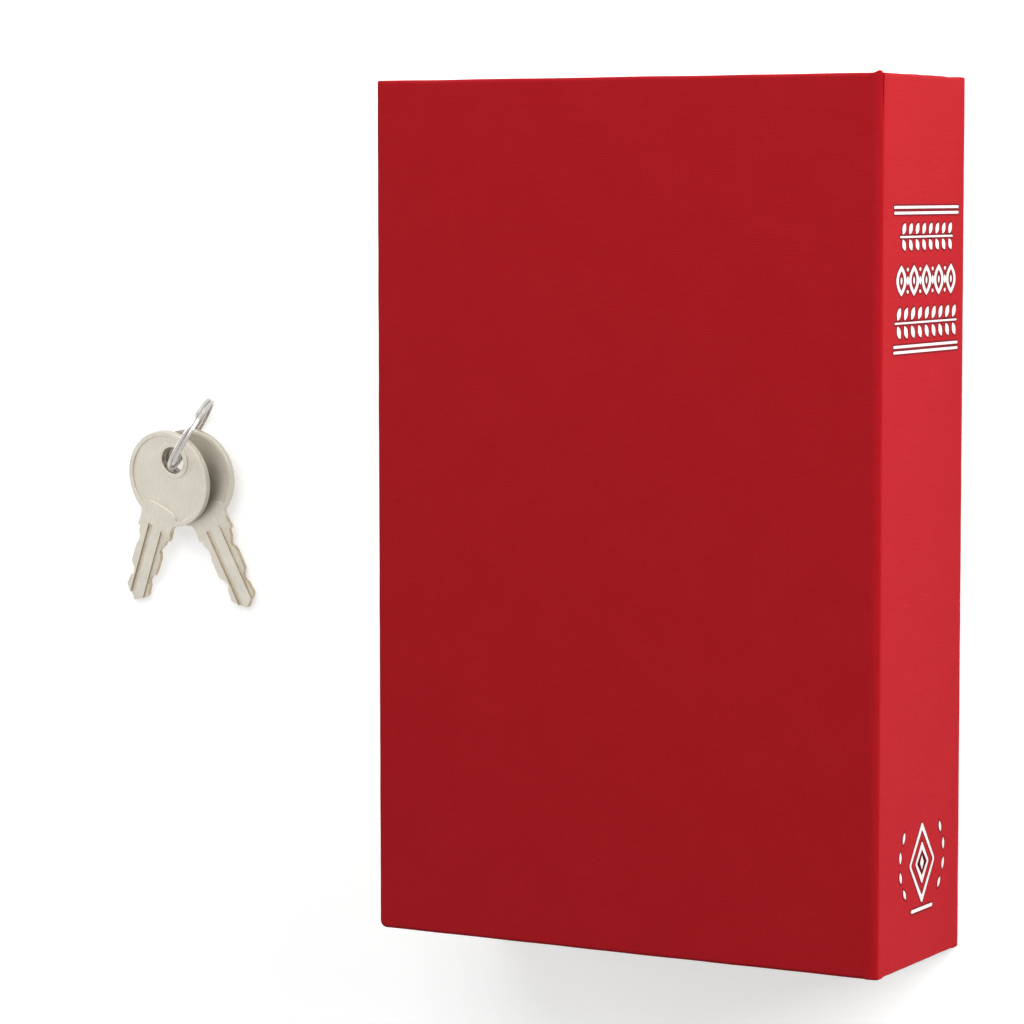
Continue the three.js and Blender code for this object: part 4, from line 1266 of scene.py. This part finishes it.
camera = add_object("camera", bpy.data.cameras.new("camera"))
configure(camera.data, lens=CAMERA_LENS, sensor_width=SENSOR_WIDTH)
configure(camera, location=CAMERA_PLACE, rotation_euler=[math.radians(turn) for turn in CAMERA_TURN])
bpy.context.scene.camera = camera

# Materials

red_linen = linen("red_linen", HOLLOW_SHADE_RED_CLOTH, RED_CLOTH, PALE_RED_CLOTH)
# Darker red cloth round the foil: painted shade of the pressed-in edge.
pressed_linen = linen("pressed_linen", (0.085, 0.0015, 0.003), (0.115, 0.002, 0.005), (0.145, 0.004, 0.008))
white_foil = foil()
endpaper = uncoated_paper()
pages = page_edges()
board = greyboard()
enamel = powder_coat()
zinc = metal("zinc_steel", (0.42, 0.43, 0.45), (0.62, 0.63, 0.65), roughness=(0.3, 0.45),
             grain=(60, 900, 900))
chrome = metal("lock_chrome", (0.7, 0.7, 0.71), (0.8, 0.8, 0.81), roughness=(0.08, 0.16),
               grain=900, depth=0.001)
brass = metal("lock_brass", (0.5, 0.35, 0.12), (0.72, 0.54, 0.24), roughness=(0.25, 0.4), grain=900)
nickel = metal("key_nickel", (0.57, 0.535, 0.465), (0.64, 0.605, 0.53), roughness=(0.44, 0.54),
               grain=(1500, 300, 1), depth=0.0015, spots=(0.5, 0.45, 0.36), flat=True)
# A darker copy of the key nickel, used as painted shade in the grooves and on the bow's step walls.
dull_nickel = metal("dull_nickel", (0.54, 0.49, 0.41), (0.62, 0.575, 0.5), roughness=(0.4, 0.5), grain=900)
cut_brass = metal("cut_brass", (0.42, 0.33, 0.22), (0.56, 0.49, 0.36), roughness=(0.35, 0.5),
                  grain=(900, 900, 300))
ring_steel = metal("ring_steel", (0.5, 0.48, 0.46), (0.6, 0.58, 0.55), roughness=(0.2, 0.3),
                   grain=2500, depth=0.001)

# Case

for side, outer_z, inward, end_z, body, peak_height, crease_depth in (
    ("front", BOOK_TOP_Z, -1, SPINE_HIGH_Z, "front_cover", PEAK_HEIGHT, CREASE_DEPTH),
    ("back", 0, 1, SPINE_LOW_Z, "case_and_box", 0, 0),
):
    clothe(cover_cloth(f"{side}_cover_linen", outer_z, inward), body, f"{side}_cover_cloth")
    joint = joint_cloth(f"{side}_joint_linen", outer_z, end_z, peak_height, crease_depth)
    bends = side == "front"
    clothe(joint, None if bends else body, f"{side}_joint_cloth")
    if bends:
        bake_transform(joint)
    soften(f"{side}_endpaper", 0, endpaper)
    soften(f"{side}_cover_board", 0, board)
soften("spine_board", 0, board)
clothe(spine_cloth(), "case_and_box", "spine_cloth")

spine_foil("spine_rules", [[bar_loop((0, y), RULE_HALF_LENGTH, RULE_WIDTH)] for y in RULE_PLACES])
spine_foil("spine_upper_band", laurel_band(y=77, half_length=17.5, leaves=8, height=7.4))
spine_foil("spine_middle_band", lozenge_band(y=65.4, half_length=20.6, count=5, height=8.2))
spine_foil("spine_lower_band", laurel_band(y=54.2, half_length=20.6, leaves=9, height=8.4))
spine_foil("spine_device", lozenge_device(middle=(0, -92.5), width=17, height=22.5, line=0.95))

dress(page_block(), "case_and_box", pages,
      ["head_pages", "tail_pages", "fore_edge_pages", "spine_pages"])

# Box, hinge and lock

dress(tray(), "case_and_box", enamel, ["box_tray"])
dress(lid(), "lid", enamel, ["box_lid"])
plate_zinc(hinge_leaf("tray", 0, lambda x, z: (-z, x)), "case_and_box", "tray_hinge_leaf")
plate_zinc(hinge_leaf("lid", 1, lambda x, z: (x, z)), "lid", "lid_hinge_leaf")
plate_zinc(hinge_pin(), "case_and_box", "hinge_pin")
for number in (1, 2, 3):
    plate_zinc(rivet(f"lid_rivet_{number}", along_x=False), "lid", f"lid_rivet_{number}")
    plate_zinc(rivet(f"tray_rivet_{number}", along_x=True), "case_and_box", f"tray_rivet_{number}")
dress(lock_housing(), "lid", chrome, ["lock_body"], sharp=20)
plate_zinc(lock_washer(), "lid", "lock_washer")
plate_zinc(hex_nut(), "lid", "lock_nut")
dress(lock_core(), "lock_core", brass, ["lock_plug"])
soften("lock_cam", 0.2, zinc)
soften("catch_bracket", 0.3, zinc)
soften("cam_washer", 0.1, zinc)
soften("cam_screw", 0.15, zinc)
for number in (1, 2, 3, 4):
    soften(f"lock_wafer_{number}", 0, brass)

# Keys

key("key_front", "key_1_swing", "first_key", "key_1")
key("key_behind", "key_2_swing", "second_key", "key_2")
dress(split_ring(), "key_ring", ring_steel, ["split_ring"])

# Studio

def studio_floor():
    """A pale floor that shows white to the camera, with the object's soft shadow on it"""
    mesh = bpy.data.meshes.new("floor")
    corners = [(x * FLOOR_HALF_SIZE, y * FLOOR_HALF_SIZE, -FLOOR_DROP) for x, y in
               ((-1, -1), (1, -1), (1, 1), (-1, 1))]
    mesh.from_pydata(corners, [], [(0, 1, 2, 3)])
    floor = add_object("floor", mesh)
    finish = Finish("floor")
    finish.shade(Base_Color=(FLOOR_GREY, FLOOR_GREY, FLOOR_GREY, 1), Roughness=FLOOR_ROUGHNESS)
    far = finish.node("ShaderNodeVectorMath", {0: finish.place()}, operation="LENGTH").outputs["Value"]
    fill = finish.spread(far, FLOOR_FILL, FLOOR_FAR_FILL, usual=FLOOR_FAR)
    finish.shade(Emission_Color=(1, 1, 1, 1), Emission_Strength=finish.math("MULTIPLY", finish.seen(), fill))
    mesh.materials.append(finish.material)


def studio_world():
    """White room: full strength where it is seen, and ROOM_LIGHT where it lights something"""
    finish = Finish("studio", bpy.data.worlds.new, "Background")
    strength = finish.spread(finish.seen(), low=ROOM_LIGHT, usual=(0, 1))
    finish.shade(Color=(1, 1, 1, 1), Strength=strength)
    bpy.context.scene.world = finish.material


def soft_lamp(name, place, target, size, watts):
    """A square lamp, in metres and watts, aimed at a point"""
    lamp = add_object(name, bpy.data.lights.new(name, "AREA"))
    configure(lamp.data, size=size, energy=watts)
    aim = (Vector(target) - Vector(place)).to_track_quat("-Z", "Y")
    configure(lamp, location=place, rotation_euler=aim.to_euler())


studio_floor()
studio_world()
soft_lamp("spine_side_lamp", place=(0.95, 0.55, 0.38), target=(0.05, 0, 0.03), size=0.7, watts=21.8)
soft_lamp("fore_edge_side_lamp", place=(-1.1, 0.25, 0.3), target=(-0.05, 0, 0.03), size=0.6, watts=3.2)
soft_lamp("head_side_lamp", place=(-0.12, 0.48, 0.52), target=(0, 0.03, 0.03), size=0.6, watts=2.8)
bpy.context.scene.view_settings.view_transform = "Standard"
